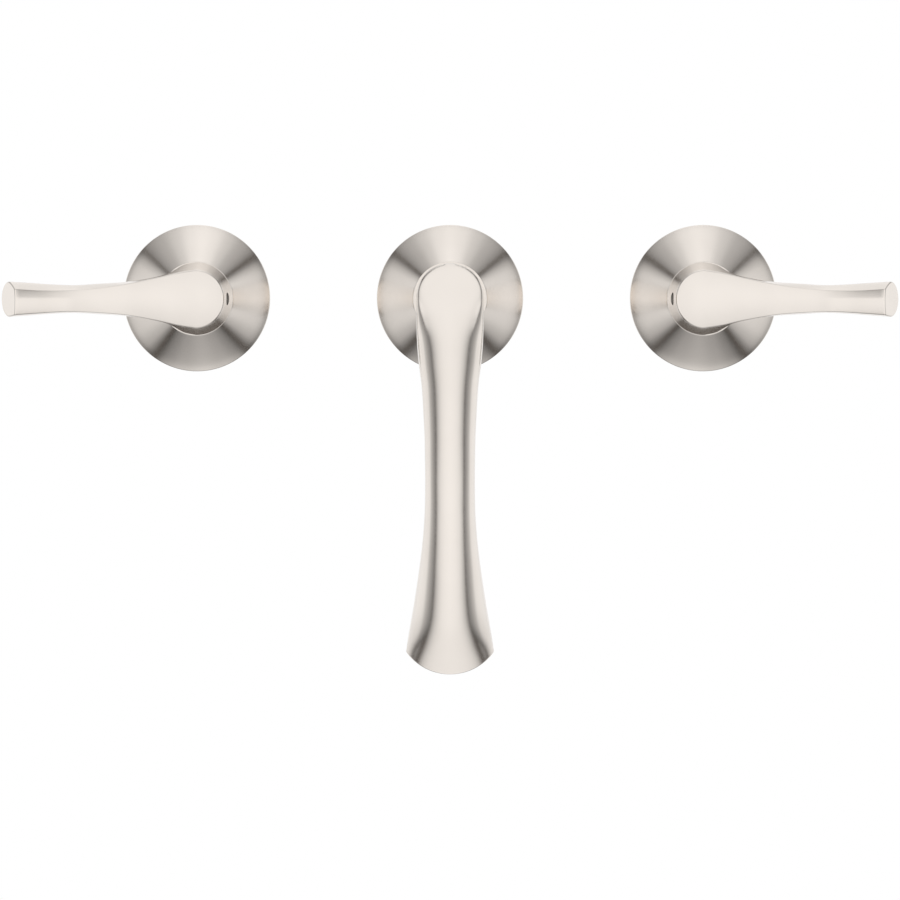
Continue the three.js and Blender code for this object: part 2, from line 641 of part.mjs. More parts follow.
const OUTLET_R = 8.5;             // bore for the outlet housing
const OUTLET_TOP = -116;
const SOCKET_END = -39;           // end of the spout's socket, along Y
const SHANK_R = 8.9;
const SHANK_SLACK = 0.5;
const SPOUT_SCREW_Y = -24;
const SPOUT_HOLE_Z = [-16, -8];   // hole of the spout's set screw
const WATERWAY_FROM = 0.08;       // share of the spout's length where the waterway starts
const WATERWAY_DROP = 118.5;      // drop at which it ends, inside the outlet bore
const POCKET_DROP = 127.3;        // top of the pocket round the outlet
const SPOUT_WALL = 2;
// Shares of the spout's length: the rings lie closest where the stub turns into the tongue
const RING_PLACES = [[0, 0], [0.15, 0.36], [0.65, 0.54], [1, 1]];

function spoutBody() {
  const [waterwayEnd, pocketFrom] = [shareAt(WATERWAY_DROP), shareAt(POCKET_DROP)];
  const outer = shaped(34, 28, (v, angle, rho) => spoutSkin(linear(RING_PLACES, v), angle, 0, rho));
  const waterway = shaped(16, 10, (v, angle, rho) => onSpout(
    axisFrame(THREE.MathUtils.lerp(WATERWAY_FROM, waterwayEnd, v)),
    rho * WATERWAY_R * Math.sin(angle),
    rho * WATERWAY_R * Math.cos(angle),
  ));
  const pocket = shaped(4, 28, (v, angle, rho) =>
    spoutSkin(THREE.MathUtils.lerp(pocketFrom, 1, v), angle, SPOUT_WALL, rho));
  return cut(
    outer,
    mouthCut(),
    rodY(SHANK_R + SHANK_SLACK, SOCKET_END, -COLLAR_D + CUT_PAST),
    waterway,
    pocket,
    rodZ(OUTLET_R, OUTLET_TOP - 24, OUTLET_TOP, 0, -SPOUT_REACH),
    rodZ(SCREW_R + GAP, ...SPOUT_HOLE_Z, 0, SPOUT_SCREW_Y, SCREW_SIDES),
  );
}

const OUTLET_SEAL = { inner: 6.4, outer: 8.1, top: 0.3, end: 1.8 };         // depths below the bore's top
const OUTLET_HOUSING = { inner: 6.6, outer: 8.2, top: 2.1, end: 12.5 };
const OUTLET_LEDGE = { inner: 5.6, outer: 7, top: 10.6, end: 12.5 };        // holds the screen
const SCREEN = { inner: 0, outer: 6.3, top: 8.8, end: 10.2, holeR: 0.9, holesAt: 3.6, holes: 6 };

// A ring about the axis of the outlet bore, by its depths below the bore's top
function outletRing({ inner, outer, top, end }) {
  const [z0, z1] = [OUTLET_TOP - end, OUTLET_TOP - top];
  const whole = rodZ(outer, z0, z1, 0, -SPOUT_REACH);
  return inner > 0 ? cut(whole, rodZ(inner, z0 - CUT_PAST, z1 + CUT_PAST, 0, -SPOUT_REACH)) : whole;
}

const outletSeal = () => outletRing(OUTLET_SEAL);
const outletHousing = () => joined(outletRing(OUTLET_HOUSING), outletRing(OUTLET_LEDGE));

function screenHole(x, y) {
  const [z0, z1] = [OUTLET_TOP - SCREEN.end - CUT_PAST, OUTLET_TOP - SCREEN.top + CUT_PAST];
  return rodZ(SCREEN.holeR, z0, z1, x, y - SPOUT_REACH, 6);
}

function outletScreen() {
  const holes = [screenHole(0, 0)];
  for (let i = 0; i < SCREEN.holes; i += 1) {
    const angle = (2 * Math.PI * i) / SCREEN.holes;
    holes.push(screenHole(SCREEN.holesAt * Math.cos(angle), SCREEN.holesAt * Math.sin(angle)));
  }
  return cut(outletRing(SCREEN), ...holes);
}

const SPOUT_SCREW_Z = [-12.6, -9.3];
const SPOUT_HEX_TOP = -11.4;

function spoutSetScrew() {
  const [end, top] = SPOUT_SCREW_Z;
  const body = rodZ(SCREW_R, end, top, 0, SPOUT_SCREW_Y, SCREW_SIDES);
  return cut(body, rodZ(HEX_R, end - CUT_PAST, SPOUT_HEX_TOP, 0, SPOUT_SCREW_Y, 6));
}

// The shank, from the tee through the wall into the spout, with its two O-ring grooves
const SHANK_BACK = 21.6;
const SHANK_FRONT = SOCKET_END + 0.6;
const GROOVES_Y = [-29, -34.5];
const GROOVE_HALF = 1.1;
const GROOVE_R = 7.5;

function shank() {
  const points = [[WATERWAY_R, SHANK_BACK], [SHANK_R, SHANK_BACK]];
  for (const y of GROOVES_Y) {
    points.push([SHANK_R, y + GROOVE_HALF], [GROOVE_R, y + GROOVE_HALF]);
    points.push([GROOVE_R, y - GROOVE_HALF], [SHANK_R, y - GROOVE_HALF]);
  }
  points.push([SHANK_R, SHANK_FRONT], [WATERWAY_R, SHANK_FRONT], [WATERWAY_R, SHANK_BACK]);
  return turned(points);
}

const SHANK_RING = { radius: 8.35, thick: 0.75 };

const shankORing = (y) => oRing(SHANK_RING.radius, SHANK_RING.thick, y);

const SHANK_NUT = { radius: 15, front: -5.95, back: -0.45 };

function shankNut() {
  const { radius, front, back } = SHANK_NUT;
  return cut(hexY(radius, front, back), rodY(SHANK_R + GAP, front - CUT_PAST, back + CUT_PAST));
}

// The rough-in between the valves

const TEE_HALF = 23;
const TEE_R = 10;
const SOCKET_DEEP = 12;
const BRANCH = { radius: 13, front: 6, socketEnd: 22 };    // takes the shank
const REAR_R = 8;

function spoutTee() {
  const body = joined(rodX(TEE_R, -TEE_HALF, TEE_HALF, PORT_Y, 0), rodY(BRANCH.radius, BRANCH.front, PORT_Y));
  const rear = joined(rodY(REAR_R, PORT_Y + 4, FLANGE_Y + 1), mountingFlange(...TEE_FLANGE));
  const ends = [-1, 1].map((side) => {
    const [inner, outer] = [side * (TEE_HALF - SOCKET_DEEP), side * (TEE_HALF + CUT_PAST)];
    return rodX(TUBE_R + GAP, inner, outer, PORT_Y, 0);
  });
  return cut(
    joined(body, rear),
    ...ends,
    rodX(TUBE_R - TUBE_WALL, -TEE_HALF, TEE_HALF, PORT_Y, 0),
    rodY(SHANK_R + GAP, BRANCH.front - CUT_PAST, BRANCH.socketEnd),
    rodY(WATERWAY_R, BRANCH.socketEnd - 2, PORT_Y),
  );
}

function manifoldTube(side) {
  const inner = side * (TEE_HALF - SOCKET_DEEP + GAP);
  const outer = side * (CENTRES - OUTLET_SOCKET_FROM - GAP);
  const past = side * CUT_PAST;
  return cut(
    rodX(TUBE_R, inner, outer, PORT_Y, 0),
    rodX(TUBE_R - TUBE_WALL, inner - past, outer + past, PORT_Y, 0),
  );
}

// Materials

const finish = (color, roughness, metalness) => () =>
  new THREE.MeshStandardMaterial({ color, roughness, metalness });
const nickel = finish(0xc9c0b7, 0.34, 1);
const brass = finish(0xb5914f, 0.4, 1);
const copper = finish(0xb87350, 0.35, 1);
const steel = finish(0xa9aaac, 0.4, 1);
const rubber = finish(0x1d1d1f, 0.85, 0);
const foam = finish(0x3b3d40, 0.95, 0);
const ceramic = finish(0xece8df, 0.25, 0);
const plastic = finish(0xd8d6cf, 0.5, 0);

// Assembly

function piece(name, body, material, parent) {
  const mesh = new THREE.Mesh(geometryOf(body), material());
  mesh.name = name;
  parent.add(mesh);
}

// One valve with its handle. hand is the way its arm points along X: -1 for hot, on the left, 1 for cold.
function handleSide(side, hand) {
  const group = new THREE.Group();
  group.position.x = hand * CENTRES;
  const add = (name, body, material) => piece(`${side}_${name}`, body, material, group);
  add('lever', lever(hand), nickel);
  add('lever_set_screw', setScrew(hand), steel);
  add('handle_adapter', adapter(), plastic);
  add('escutcheon_nut', escutcheonNut(), brass);
  add('escutcheon', bell(9.7), nickel);
  add('escutcheon_gasket', gasket(), foam);
  add('bonnet_nut', bonnetNut(), brass);
  add('stem', stem(), brass);
  add('stem_o_ring', stemORing(), rubber);
  add('stem_retaining_ring', retainingRing(), steel);
  add('cartridge_housing', cartridgeHousing(hand), brass);
  add('moving_disc', movingDisc(), ceramic);
  add('fixed_disc', fixedDisc(), ceramic);
  add('seat_seal', seatSeal(), rubber);
  add('valve_body', valveBody(-hand), brass);
  add('inlet_nipple', inletNipple(), brass);
  return group;
}

function centre() {
  const group = new THREE.Group();
  const add = (name, body, material) => piece(name, body, material, group);
  add('spout_body', spoutBody(), nickel);
  add('outlet_seal', outletSeal(), rubber);
  add('outlet_housing', outletHousing(), plastic);
  add('outlet_screen', outletScreen(), steel);
  add('spout_set_screw', spoutSetScrew(), steel);
  add('spout_escutcheon', bell(SHANK_R + GAP), nickel);
  add('spout_escutcheon_gasket', gasket(), foam);
  add('spout_shank', shank(), brass);
  add('shank_o_ring_rear', shankORing(GROOVES_Y[0]), rubber);
  add('shank_o_ring_front', shankORing(GROOVES_Y[1]), rubber);
  add('shank_nut', shankNut(), brass);
  add('spout_tee', spoutTee(), brass);
  add('hot_manifold_tube', manifoldTube(-1), copper);
  add('cold_manifold_tube', manifoldTube(1), copper);
  return group;
}

const faucet = new THREE.Group();
faucet.add(handleSide('hot', -1), centre(), handleSide('cold', 1));

export default faucet;
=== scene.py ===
"""Wall mounted bath faucet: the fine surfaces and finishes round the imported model."""
import json
import math

import bmesh
import bpy
import numpy as np
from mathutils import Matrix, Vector

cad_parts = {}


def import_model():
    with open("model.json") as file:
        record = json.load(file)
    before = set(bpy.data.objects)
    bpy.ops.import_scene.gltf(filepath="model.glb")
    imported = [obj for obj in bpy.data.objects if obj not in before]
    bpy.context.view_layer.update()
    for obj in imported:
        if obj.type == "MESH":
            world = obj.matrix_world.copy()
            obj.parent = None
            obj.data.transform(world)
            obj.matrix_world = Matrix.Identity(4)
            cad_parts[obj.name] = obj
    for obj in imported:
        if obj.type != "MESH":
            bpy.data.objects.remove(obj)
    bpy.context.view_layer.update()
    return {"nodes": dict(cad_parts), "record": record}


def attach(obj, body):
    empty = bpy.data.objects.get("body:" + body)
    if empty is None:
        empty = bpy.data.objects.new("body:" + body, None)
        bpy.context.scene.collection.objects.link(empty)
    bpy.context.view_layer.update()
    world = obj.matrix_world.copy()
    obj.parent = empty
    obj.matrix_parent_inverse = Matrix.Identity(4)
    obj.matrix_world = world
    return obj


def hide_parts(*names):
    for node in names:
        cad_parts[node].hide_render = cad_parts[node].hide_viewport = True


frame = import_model()

MM = 0.001
RECORD = frame["record"]
BODY_OF = {node: body for body, nodes in RECORD["behaviour"]["bodies"].items() for node in nodes}
SLOT_OF = {row["node"]: row["material_slot"] for row in RECORD["subparts"]}
HANDS = {"hot": -1, "cold": 1}

# Driving dimensions in millimetres, in the frame of the model: the wall is y = 0 and the trim is towards -Y
CENTRES = 101.6             # from the spout's axis to each handle's axis
GAP = 0.3                   # clearance between neighbouring pieces
CUT_PAST = 1                # how far a cutter runs past the face it opens
BELL_R = 29.4               # escutcheon radius on the wall
COLLAR_R = 14.7             # escutcheon radius at its front face
COLLAR_D = 18.5             # distance from the wall to that front face
COLLAR_THICK = 2.2
BELL_EDGE = 0.9             # height of the bell's upright rim
BELL_WALL = 1.9
BELL_INSET = 1.14           # the inside's step in, besides its shift along the axis
BELL_FLARE = 1.12           # 1 would be a straight cone
BELL_BORE = 9.7
ON_COLLAR_Y = -COLLAR_D - GAP  # where the pieces that stand on an escutcheon start
HUB_D = 19.2                # base of a lever's hub, from the wall
HUB_CREASE_R = 11.6         # edge of the hub's front face
HUB_CREASE_D = 35
HUB_DOME = 1.8              # rise of the hub's front face at its centre
ARM_AXIS_D = 29             # the arm's axis, from the wall, at the hub
ARM_RISE_U = 12             # the arm starts to bend away from the wall here
ARM_TIP_U = 74.3            # centre of the end face, from the hub's axis
ARM_TIP_R = 7.05
ARM_TIP_TILT = math.radians(25)
HEAD_R = 13.1               # radius of the spout's round stub
HEAD_RISE = 1.6             # how far the stub has risen at its face
HEAD_D = 100                # distance from the wall at which it has
SPOUT_REACH = 126           # from the wall to the middle of the outlet
MOUTH_A = 17.2              # half-width of the mouth
LIP_ARCH_R = 22.5           # radius of the lip, seen from the front
LIP_Z = -145.2              # lowest point of the lip
LIP_ROUNDING = 0.1          # the rounded lip stays above its lowest point
WATERWAY_R = 5.5
TUBE_R = 6.35               # half-inch copper tube
TUBE_WALL = 1
PORT_Y = 28                 # depth of the manifold behind the wall
SCREW_D = 28.5              # axis of a lever's set screw, from the wall
SCREW_HOLE_R = 2.55
SCREW_HOLE = (8, 16)        # a lever's set screw hole, from the hub's axis
SPOUT_HOLE_Z = (-16, -8)    # hole of the spout's set screw
SHANK_R = 8.9
SHANK_SLACK = 0.5
SOCKET_END = -39            # end of the spout's socket, along Y
SPOUT_SCREW_Y = -24
OUTLET_R = 8.5              # bore for the outlet housing
OUTLET_TOP = -116
OUTLET_MOUTH = -126.9       # where the bore's chamfer starts
OUTLET_CHAMFER = 0.4
SPOUT_WALL = 2
FLANGE_Y = 54               # front face of the rear mounting flanges
FLANGE_THICK = 4
INLET_Y = 44


# Curves and outlines

def smooth(low, high, value):
    t = min(max((value - low) / (high - low), 0), 1)
    return t * t * (3 - 2 * t)


def along(points, place):
    """A smooth curve through (place, value) points, read at any place."""
    last = len(points) - 1
    i = 0
    while i < last - 1 and place > points[i + 1][0]:
        i += 1

    def slope(k):
        before, after = points[max(k - 1, 0)], points[min(k + 1, last)]
        return (after[1] - before[1]) / (after[0] - before[0])

    (x0, v0), (x1, v1) = points[i], points[i + 1]
    span = x1 - x0
    t = min(max((place - x0) / span, 0), 1)
    start = (2 * t**3 - 3 * t**2 + 1) * v0 + (t**3 - 2 * t**2 + t) * span * slope(i)
    return start + (3 * t**2 - 2 * t**3) * v1 + (t**3 - t**2) * span * slope(i + 1)


CORNER_ROOM = 0.45          # a corner's arc takes at most this share of either side
LEAST_ARC = 1e-4            # a corner with less stays sharp


def rounded(outline, radius, steps=4, closed=True):
    """The outline with every corner turned into an arc. radius is one number, or one for each corner."""
    count = len(outline)
    radii = radius if isinstance(radius, (list, tuple)) else [radius] * count
    points = []
    for i, corner in enumerate(outline):
        if not closed and i in (0, count - 1):
            points.append(tuple(corner))
            continue
        here = np.array(corner, float)
        back = np.array(outline[i - 1], float) - here
        ahead = np.array(outline[(i + 1) % count], float) - here
        room = min(np.linalg.norm(back), np.linalg.norm(ahead)) * CORNER_ROOM
        reach = min(radii[i], room)
        if reach < LEAST_ARC:
            points.append(tuple(corner))
            continue
        a = here + back / np.linalg.norm(back) * reach
        b = here + ahead / np.linalg.norm(ahead) * reach
        for k in range(steps + 1):
            t = k / steps
            point = (1 - t) ** 2 * a + 2 * t * (1 - t) * here + t**2 * b
            points.append(tuple(point))
    return points


# Meshes

SHARP_DEG = 35              # edges sharper than this stay sharp
CARVED_SHARP_DEG = 40
MERGE_DISTANCE = 2e-7       # metres
SHORTEST_EDGE = 1e-7


def finished(name, mesh, sharp_deg=SHARP_DEG):
    """A shown object from a bmesh in millimetres."""
    bmesh.ops.scale(mesh, vec=(MM, MM, MM), verts=mesh.verts)
    bmesh.ops.remove_doubles(mesh, verts=mesh.verts, dist=MERGE_DISTANCE)
    bmesh.ops.dissolve_degenerate(mesh, edges=mesh.edges, dist=SHORTEST_EDGE)
    bmesh.ops.recalc_face_normals(mesh, faces=mesh.faces)
    data = bpy.data.meshes.new(name)
    mesh.to_mesh(data)
    mesh.free()
    piece = bpy.data.objects.new(name, data)
    bpy.context.scene.collection.objects.link(piece)
    shade(piece, sharp_deg)
    return piece


def shade(piece, sharp_deg=SHARP_DEG):
    data = piece.data
    data.polygons.foreach_set("use_smooth", [True] * len(data.polygons))
    data.set_sharp_from_angle(angle=math.radians(sharp_deg))


def settled(piece):
    """The object with its modifiers made real."""
    graph = bpy.context.evaluated_depsgraph_get()
    data = bpy.data.meshes.new_from_object(piece.evaluated_get(graph))
    old = piece.data
    piece.modifiers.clear()
    piece.data = data
    bpy.data.meshes.remove(old)
    return piece


def weighted(piece):
    """Flat faces stay flat up to their rounded edges."""
    modifier = piece.modifiers.new("normals", "WEIGHTED_NORMAL")
    modifier.keep_sharp = True
    return settled(piece)


def rings_mesh(rings, wrap_rings=False):
    """A bmesh skin over closed rings of points; wrap_rings joins the last ring to the first."""
    mesh = bmesh.new()
    rows = [[mesh.verts.new(point) for point in ring] for ring in rings]
    count = len(rows[0])
    pairs = list(zip(rows, rows[1:]))
    if wrap_rings:
        pairs.append((rows[-1], rows[0]))
    for low, high in pairs:
        for j in range(count):
            k = (j + 1) % count
            mesh.faces.new((low[j], low[k], high[k], high[j]))
    return mesh


HEX_SHARE = math.cos(math.pi / 6)  # a hexagon's flat over its corner
NEARLY_ZERO = 1e-6


def turned(name, outline, x=0, z=0, steps=96, axis="Y", y=0, sharp_deg=SHARP_DEG):
    """A body of revolution from (radius, place along the axis) points: closed, or from axis to axis.

    A point's third number, if it has one, is the corner radius of a hexagon that limits its ring.
    """
    on_axis = abs(outline[0][0]) < NEARLY_ZERO
    rings = []
    for radius, place, *corner in outline:
        ring = []
        for j in range(steps):
            turn = 2 * math.pi * j / steps
            flat = corner[0] * HEX_SHARE / math.cos(turn % (math.pi / 3) - math.pi / 6) if corner else radius
            size = min(radius, flat)
            across, up = size * math.sin(turn), size * math.cos(turn)
            if axis == "Y":
                ring.append((x + across, place, z + up))
            elif axis == "Z":
                ring.append((x + across, y + up, place))
            else:
                ring.append((place, y + across, z + up))
        rings.append(ring)
    return finished(name, rings_mesh(rings, wrap_rings=not on_axis), sharp_deg)


def drill(radius, low, high, **place):
    """A plain rod to cut with."""
    return turned("drill", [(0, low), (radius, low), (radius, high), (0, high)], **place)


def hexagon(corner, low, high, chamfer, depth):
    """Outline of a hexagon whose corners are this far from the axis, chamfered at both ends."""
    inward = math.copysign(depth, high - low)
    return [(corner - chamfer, low, corner), (corner, low + inward, corner), (corner, high - inward, corner),
            (corner - chamfer, high, corner)]


def ridged(radius, low, high, pitch=1.5, depth=0.5):
    """Outline of a thread's ridges between two places."""
    count = max(round(abs(high - low) / pitch), 1)
    step = (high - low) / count
    points = []
    for i in range(count):
        points += [(radius - depth, low + step * i), (radius, low + step * (i + 0.5))]
    return points + [(radius - depth, high)]


def boxed(name, low, high):
    mesh = bmesh.new()
    bmesh.ops.create_cube(mesh, size=1)
    size = Vector(high) - Vector(low)
    bmesh.ops.scale(mesh, vec=size, verts=mesh.verts)
    bmesh.ops.translate(mesh, vec=(Vector(high) + Vector(low)) / 2, verts=mesh.verts)
    return finished(name, mesh)


def combine(piece, others, operation):
    for other in others:
        modifier = piece.modifiers.new("boolean", "BOOLEAN")
        modifier.operation = operation
        modifier.solver = "EXACT"
        modifier.object = other
    settled(piece)
    for other in others:
        data = other.data
        bpy.data.objects.remove(other)
        bpy.data.meshes.remove(data)
    return piece


def carved(piece, *tools):
    return combine(piece, tools, "DIFFERENCE")


def joined(piece, *others):
    return combine(piece, others, "UNION")


def bevelled(piece, width):
    modifier = piece.modifiers.new("bevel", "BEVEL")
    modifier.width = width * MM
    modifier.segments = 3
    modifier.limit_method = "ANGLE"
    modifier.angle_limit = math.radians(SHARP_DEG)
    modifier.use_clamp_overlap = True
    settled(piece)
    shade(piece)
    return weighted(piece)


def stand_for(piece, node, material):
    """Show the piece in place of the node, on the node's body, with the given material."""
    piece.data.materials.clear()
    piece.data.materials.append(material)
    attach(piece, BODY_OF[node])
    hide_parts(node)
    return piece


def fine(node):
    return f"{node}_fine"


# Node trees

def new_material(name):
    material = bpy.data.materials.new(name)
    material.use_nodes = True
    tree = material.node_tree
    shader = tree.nodes["Principled BSDF"]
    return material, tree, shader


def noise(tree, vector, scale, detail=3):
    node = tree.nodes.new("ShaderNodeTexNoise")
    node.inputs["Scale"].default_value = scale
    node.inputs["Detail"].default_value = detail
    tree.links.new(vector, node.inputs["Vector"])
    return node.outputs["Fac"]


def stretched(tree, vector, scale):
    node = tree.nodes.new("ShaderNodeMapping")
    node.inputs["Scale"].default_value = scale
    tree.links.new(vector, node.inputs["Vector"])
    return node.outputs["Vector"]


def object_coordinates(tree):
    return tree.nodes.new("ShaderNodeTexCoord").outputs["Object"]


def ranged(tree, value, low, high, from_low=0.3, from_high=0.7):
    node = tree.nodes.new("ShaderNodeMapRange")
    node.inputs["From Min"].default_value = from_low
    node.inputs["From Max"].default_value = from_high
    node.inputs["To Min"].default_value = low
    node.inputs["To Max"].default_value = high
    tree.links.new(value, node.inputs["Value"])
    return node.outputs["Result"]


def tinted(tree, factor, low, high):
    node = tree.nodes.new("ShaderNodeMix")
    node.data_type = "RGBA"
    node.inputs["A"].default_value = (*low, 1)
    node.inputs["B"].default_value = (*high, 1)
    tree.links.new(factor, node.inputs["Factor"])
    return node.outputs["Result"]


def bumped(tree, shader, height, strength, distance):
    node = tree.nodes.new("ShaderNodeBump")
    node.inputs["Strength"].default_value = strength
    node.inputs["Distance"].default_value = distance
    tree.links.new(height, node.inputs["Height"])
    tree.links.new(node.outputs["Normal"], shader.inputs["Normal"])


def polar_coordinates(tree, place, x):
    """Radius and depth about an axis parallel to Y at x: a pattern in them runs round that axis."""
    shift = tree.nodes.new("ShaderNodeVectorMath")
    shift.operation = "MULTIPLY_ADD"
    shift.inputs[1].default_value = (1, 0, 1)
    shift.inputs[2].default_value = (-x * MM, 0, 0)
    tree.links.new(place, shift.inputs[0])
    radius = tree.nodes.new("ShaderNodeVectorMath")
    radius.operation = "LENGTH"
    tree.links.new(shift.outputs["Vector"], radius.inputs[0])
    split = tree.nodes.new("ShaderNodeSeparateXYZ")
    tree.links.new(place, split.inputs[0])
    joint = tree.nodes.new("ShaderNodeCombineXYZ")
    tree.links.new(radius.outputs["Value"], joint.inputs["X"])
    tree.links.new(split.outputs["Y"], joint.inputs["Y"])
    return joint.outputs["Vector"]


NICKEL = ((0.795, 0.742, 0.690), (0.822, 0.768, 0.716))
NICKEL_ROUGHNESS = (0.17, 0.23)
CLOUDS = 55                 # noise scales, per metre
SPECKLE = 2600
FINE = 1800
ROUGH_SPREAD = 0.06         # of a metal's roughness, to either side
DULL_SPREAD = 0.05
FINE_BUMP = 0.0001          # bump distances, in metres
GRAIN_BUMP = 0.00001


def brushed_nickel(name, grain_scale, turned_at=None):
    """Warm satin nickel. grain_scale is the grain's fineness along X, Y and Z, low along the brushing;
    turned_at is the x of the axis that a turned piece is brushed round."""
    material, tree, shader = new_material(name)
    shader.inputs["Metallic"].default_value = 1
    place = object_coordinates(tree)
    run = place if turned_at is None else polar_coordinates(tree, place, turned_at)
    grain = noise(tree, stretched(tree, run, grain_scale), 1, detail=2)
    speckle = noise(tree, place, SPECKLE, detail=1)
    cloud = noise(tree, place, CLOUDS, detail=2)
    tree.links.new(tinted(tree, ranged(tree, cloud, 0, 1), *NICKEL), shader.inputs["Base Color"])
    tree.links.new(ranged(tree, speckle, *NICKEL_ROUGHNESS), shader.inputs["Roughness"])
    bumped(tree, shader, grain, 0.06, GRAIN_BUMP)
    return material


def metal(name, low, high, roughness, bump=0.15, scale=900):
    material, tree, shader = new_material(name)
    shader.inputs["Metallic"].default_value = 1
    place = object_coordinates(tree)
    speckle = noise(tree, place, scale, detail=3)
    cloud = noise(tree, place, 70, detail=3)
    tree.links.new(tinted(tree, ranged(tree, cloud, 0, 1), low, high), shader.inputs["Base Color"])
    rough = ranged(tree, speckle, roughness - ROUGH_SPREAD, roughness + ROUGH_SPREAD)
    tree.links.new(rough, shader.inputs["Roughness"])
    bumped(tree, shader, speckle, bump, FINE_BUMP)
    return material


def dull(name, low, high, roughness, scale=1500, bump=0.25):
    material, tree, shader = new_material(name)
    place = object_coordinates(tree)
    speckle = noise(tree, place, scale, detail=3)
    tree.links.new(tinted(tree, ranged(tree, speckle, 0, 1), low, high), shader.inputs["Base Color"])
    rough = ranged(tree, speckle, roughness - DULL_SPREAD, roughness + DULL_SPREAD)
    tree.links.new(rough, shader.inputs["Roughness"])
    bumped(tree, shader, speckle, bump, FINE_BUMP)
    return material


ALONG_ARM = brushed_nickel("nickel_along_arm", (90, FINE, FINE))
DOWN_SPOUT = brushed_nickel("nickel_down_spout", (FINE, 500, 90))
# Dark nickel for the walls of a lever's set screw hole: its dark colour is painted shade in the hole, its
# roughness the drilled surface
HOLE_SHADE = metal("nickel_painted_hole_shade", (0.25, 0.23, 0.21), (0.31, 0.29, 0.265), 0.5)
BRASS = metal("brass", (0.56, 0.40, 0.17), (0.62, 0.45, 0.20), 0.32)
CAST = metal("cast_brass", (0.46, 0.33, 0.16), (0.55, 0.40, 0.20), 0.48, bump=0.5, scale=1200)
COPPER = metal("copper", (0.66, 0.33, 0.20), (0.72, 0.38, 0.25), 0.28)
STEEL = metal("steel", (0.42, 0.42, 0.43), (0.50, 0.50, 0.51), 0.3)
PLASTIC = dull("plastic", (0.66, 0.64, 0.60), (0.72, 0.70, 0.66), 0.45)
CERAMIC = dull("ceramic", (0.80, 0.77, 0.71), (0.86, 0.83, 0.77), 0.2, bump=0.05)
RUBBER = dull("rubber", (0.025, 0.025, 0.027), (0.04, 0.04, 0.042), 0.7)
FOAM = dull("foam", (0.035, 0.037, 0.04), (0.06, 0.062, 0.066), 0.9, scale=2500, bump=0.8)
MATERIALS = {
    "brass": BRASS, "cast_brass": CAST, "copper_tube": COPPER,
    "stainless_steel": STEEL, "white_plastic": PLASTIC, "white_ceramic": CERAMIC,
    "black_rubber": RUBBER, "black_foam": FOAM,
}


# Escutcheons

def bell_radius(depth):
    rise = max((depth - BELL_EDGE) / (COLLAR_D - BELL_EDGE), 0)
    return BELL_R - (BELL_R - COLLAR_R) * rise ** (1 / BELL_FLARE)


def bell(node, x, bore):
    """An escutcheon, brushed round its own axis; soft is the radius of each corner of its outline."""
    steps = 24
    inside_steps = 8
    front = COLLAR_D - COLLAR_THICK
    depths = [BELL_EDGE + (COLLAR_D - BELL_EDGE) * i / steps for i in range(steps + 1)]
    outer = [(bell_radius(d), -d) for d in depths]
    depths = np.linspace(front, 0, inside_steps + 1)
    inner = [(bell_radius(d + BELL_WALL) - BELL_INSET, -d) for d in depths]
    corners = [(BELL_R, 0)] + outer + [(bore, -COLLAR_D), (bore, -front)] + inner
    soft = [0.25, 0.45] + [0] * (steps - 1) + [0.22, 0.2, 0.2] + [0] * inside_steps + [0.25]
    piece = turned(fine(node), rounded(corners, soft, steps=5), x=x, steps=160)
    stand_for(weighted(piece), node, brushed_nickel(f"nickel_round_{node}", (FINE, FINE, 1), x))


# Levers, in u (along the arm from the hub's axis), w (up) and d (away from the wall)

# Half-widths of the front face above the arm's axis and below it, and of the arm; then the depth of its back
EDGE_ABOVE = [
    (0, HUB_CREASE_R), (7, 10.5), (14.5, 8.8), (28.4, 6), (38.7, 4.5), (51.7, 3.5), (64, 3.5),
    (ARM_TIP_U, 4.2),
]
EDGE_BELOW = [
    (0, HUB_CREASE_R), (7, 10.5), (14.5, 8.8), (28.4, 6.4), (38.7, 5.5), (51.7, 5), (64, 5.6),
    (ARM_TIP_U, 6.3),
]
SIDE_HALF = [
    (0, COLLAR_R), (5, 13.6), (10, 10.8), (14.5, 9.2), (20.7, 7.9), (29, 6.75), (38.5, 6.1), (48, 5.55),
    (57.5, 5.9), (67, 6.6), (ARM_TIP_U, ARM_TIP_R),
]
UNDER_HALF = [
    (8, 9.7), (13, 8.9), (18, 7.2), (24, 6.3), (31, 6), (48, 5.55), (57.5, 5.9), (67, 6.6),
    (ARM_TIP_U, ARM_TIP_R),
]
FACE_SHARE = 0.4            # share of a half-section that is front face
WALL_SHARE = 0.36           # share of it that is side wall
SOFT_SHARE = 0.018          # share over which its corners are rounded, to either side
ARM_CREASE = 0.9            # how far out the face's edges are, over its middle
WALL_TURN = 0.2             # how far the side wall turns in behind the arm, in half turns
BLEND_U = (6, 36)           # the hub's section turns into the arm's between these places
SOCKET = {"radius": 9.8, "front": -33}          # pocket in the hub for the adapter
RECESS = {"radius": 12.4, "front": -22.8}       # wider recess over the escutcheon nut


def arm_section(u, edge, side, face, wall, under):
    """The arm's half-section: a nearly flat face, a side that rounds over, and a round back."""
    if wall < 0.5:
        over = 2 * wall
        crease = side * ARM_CREASE
        w = edge * face + (side - edge) * (1 - (1 - over) ** 1.5)
        return w, crease * (1 - over) if over > 0 else side + (crease - side) * face**2
    turn = (0.5 + WALL_TURN * (2 * wall - 1) + (0.5 - WALL_TURN) * under) * math.pi
    return side * math.sin(turn), along(UNDER_HALF, u) * math.cos(turn)


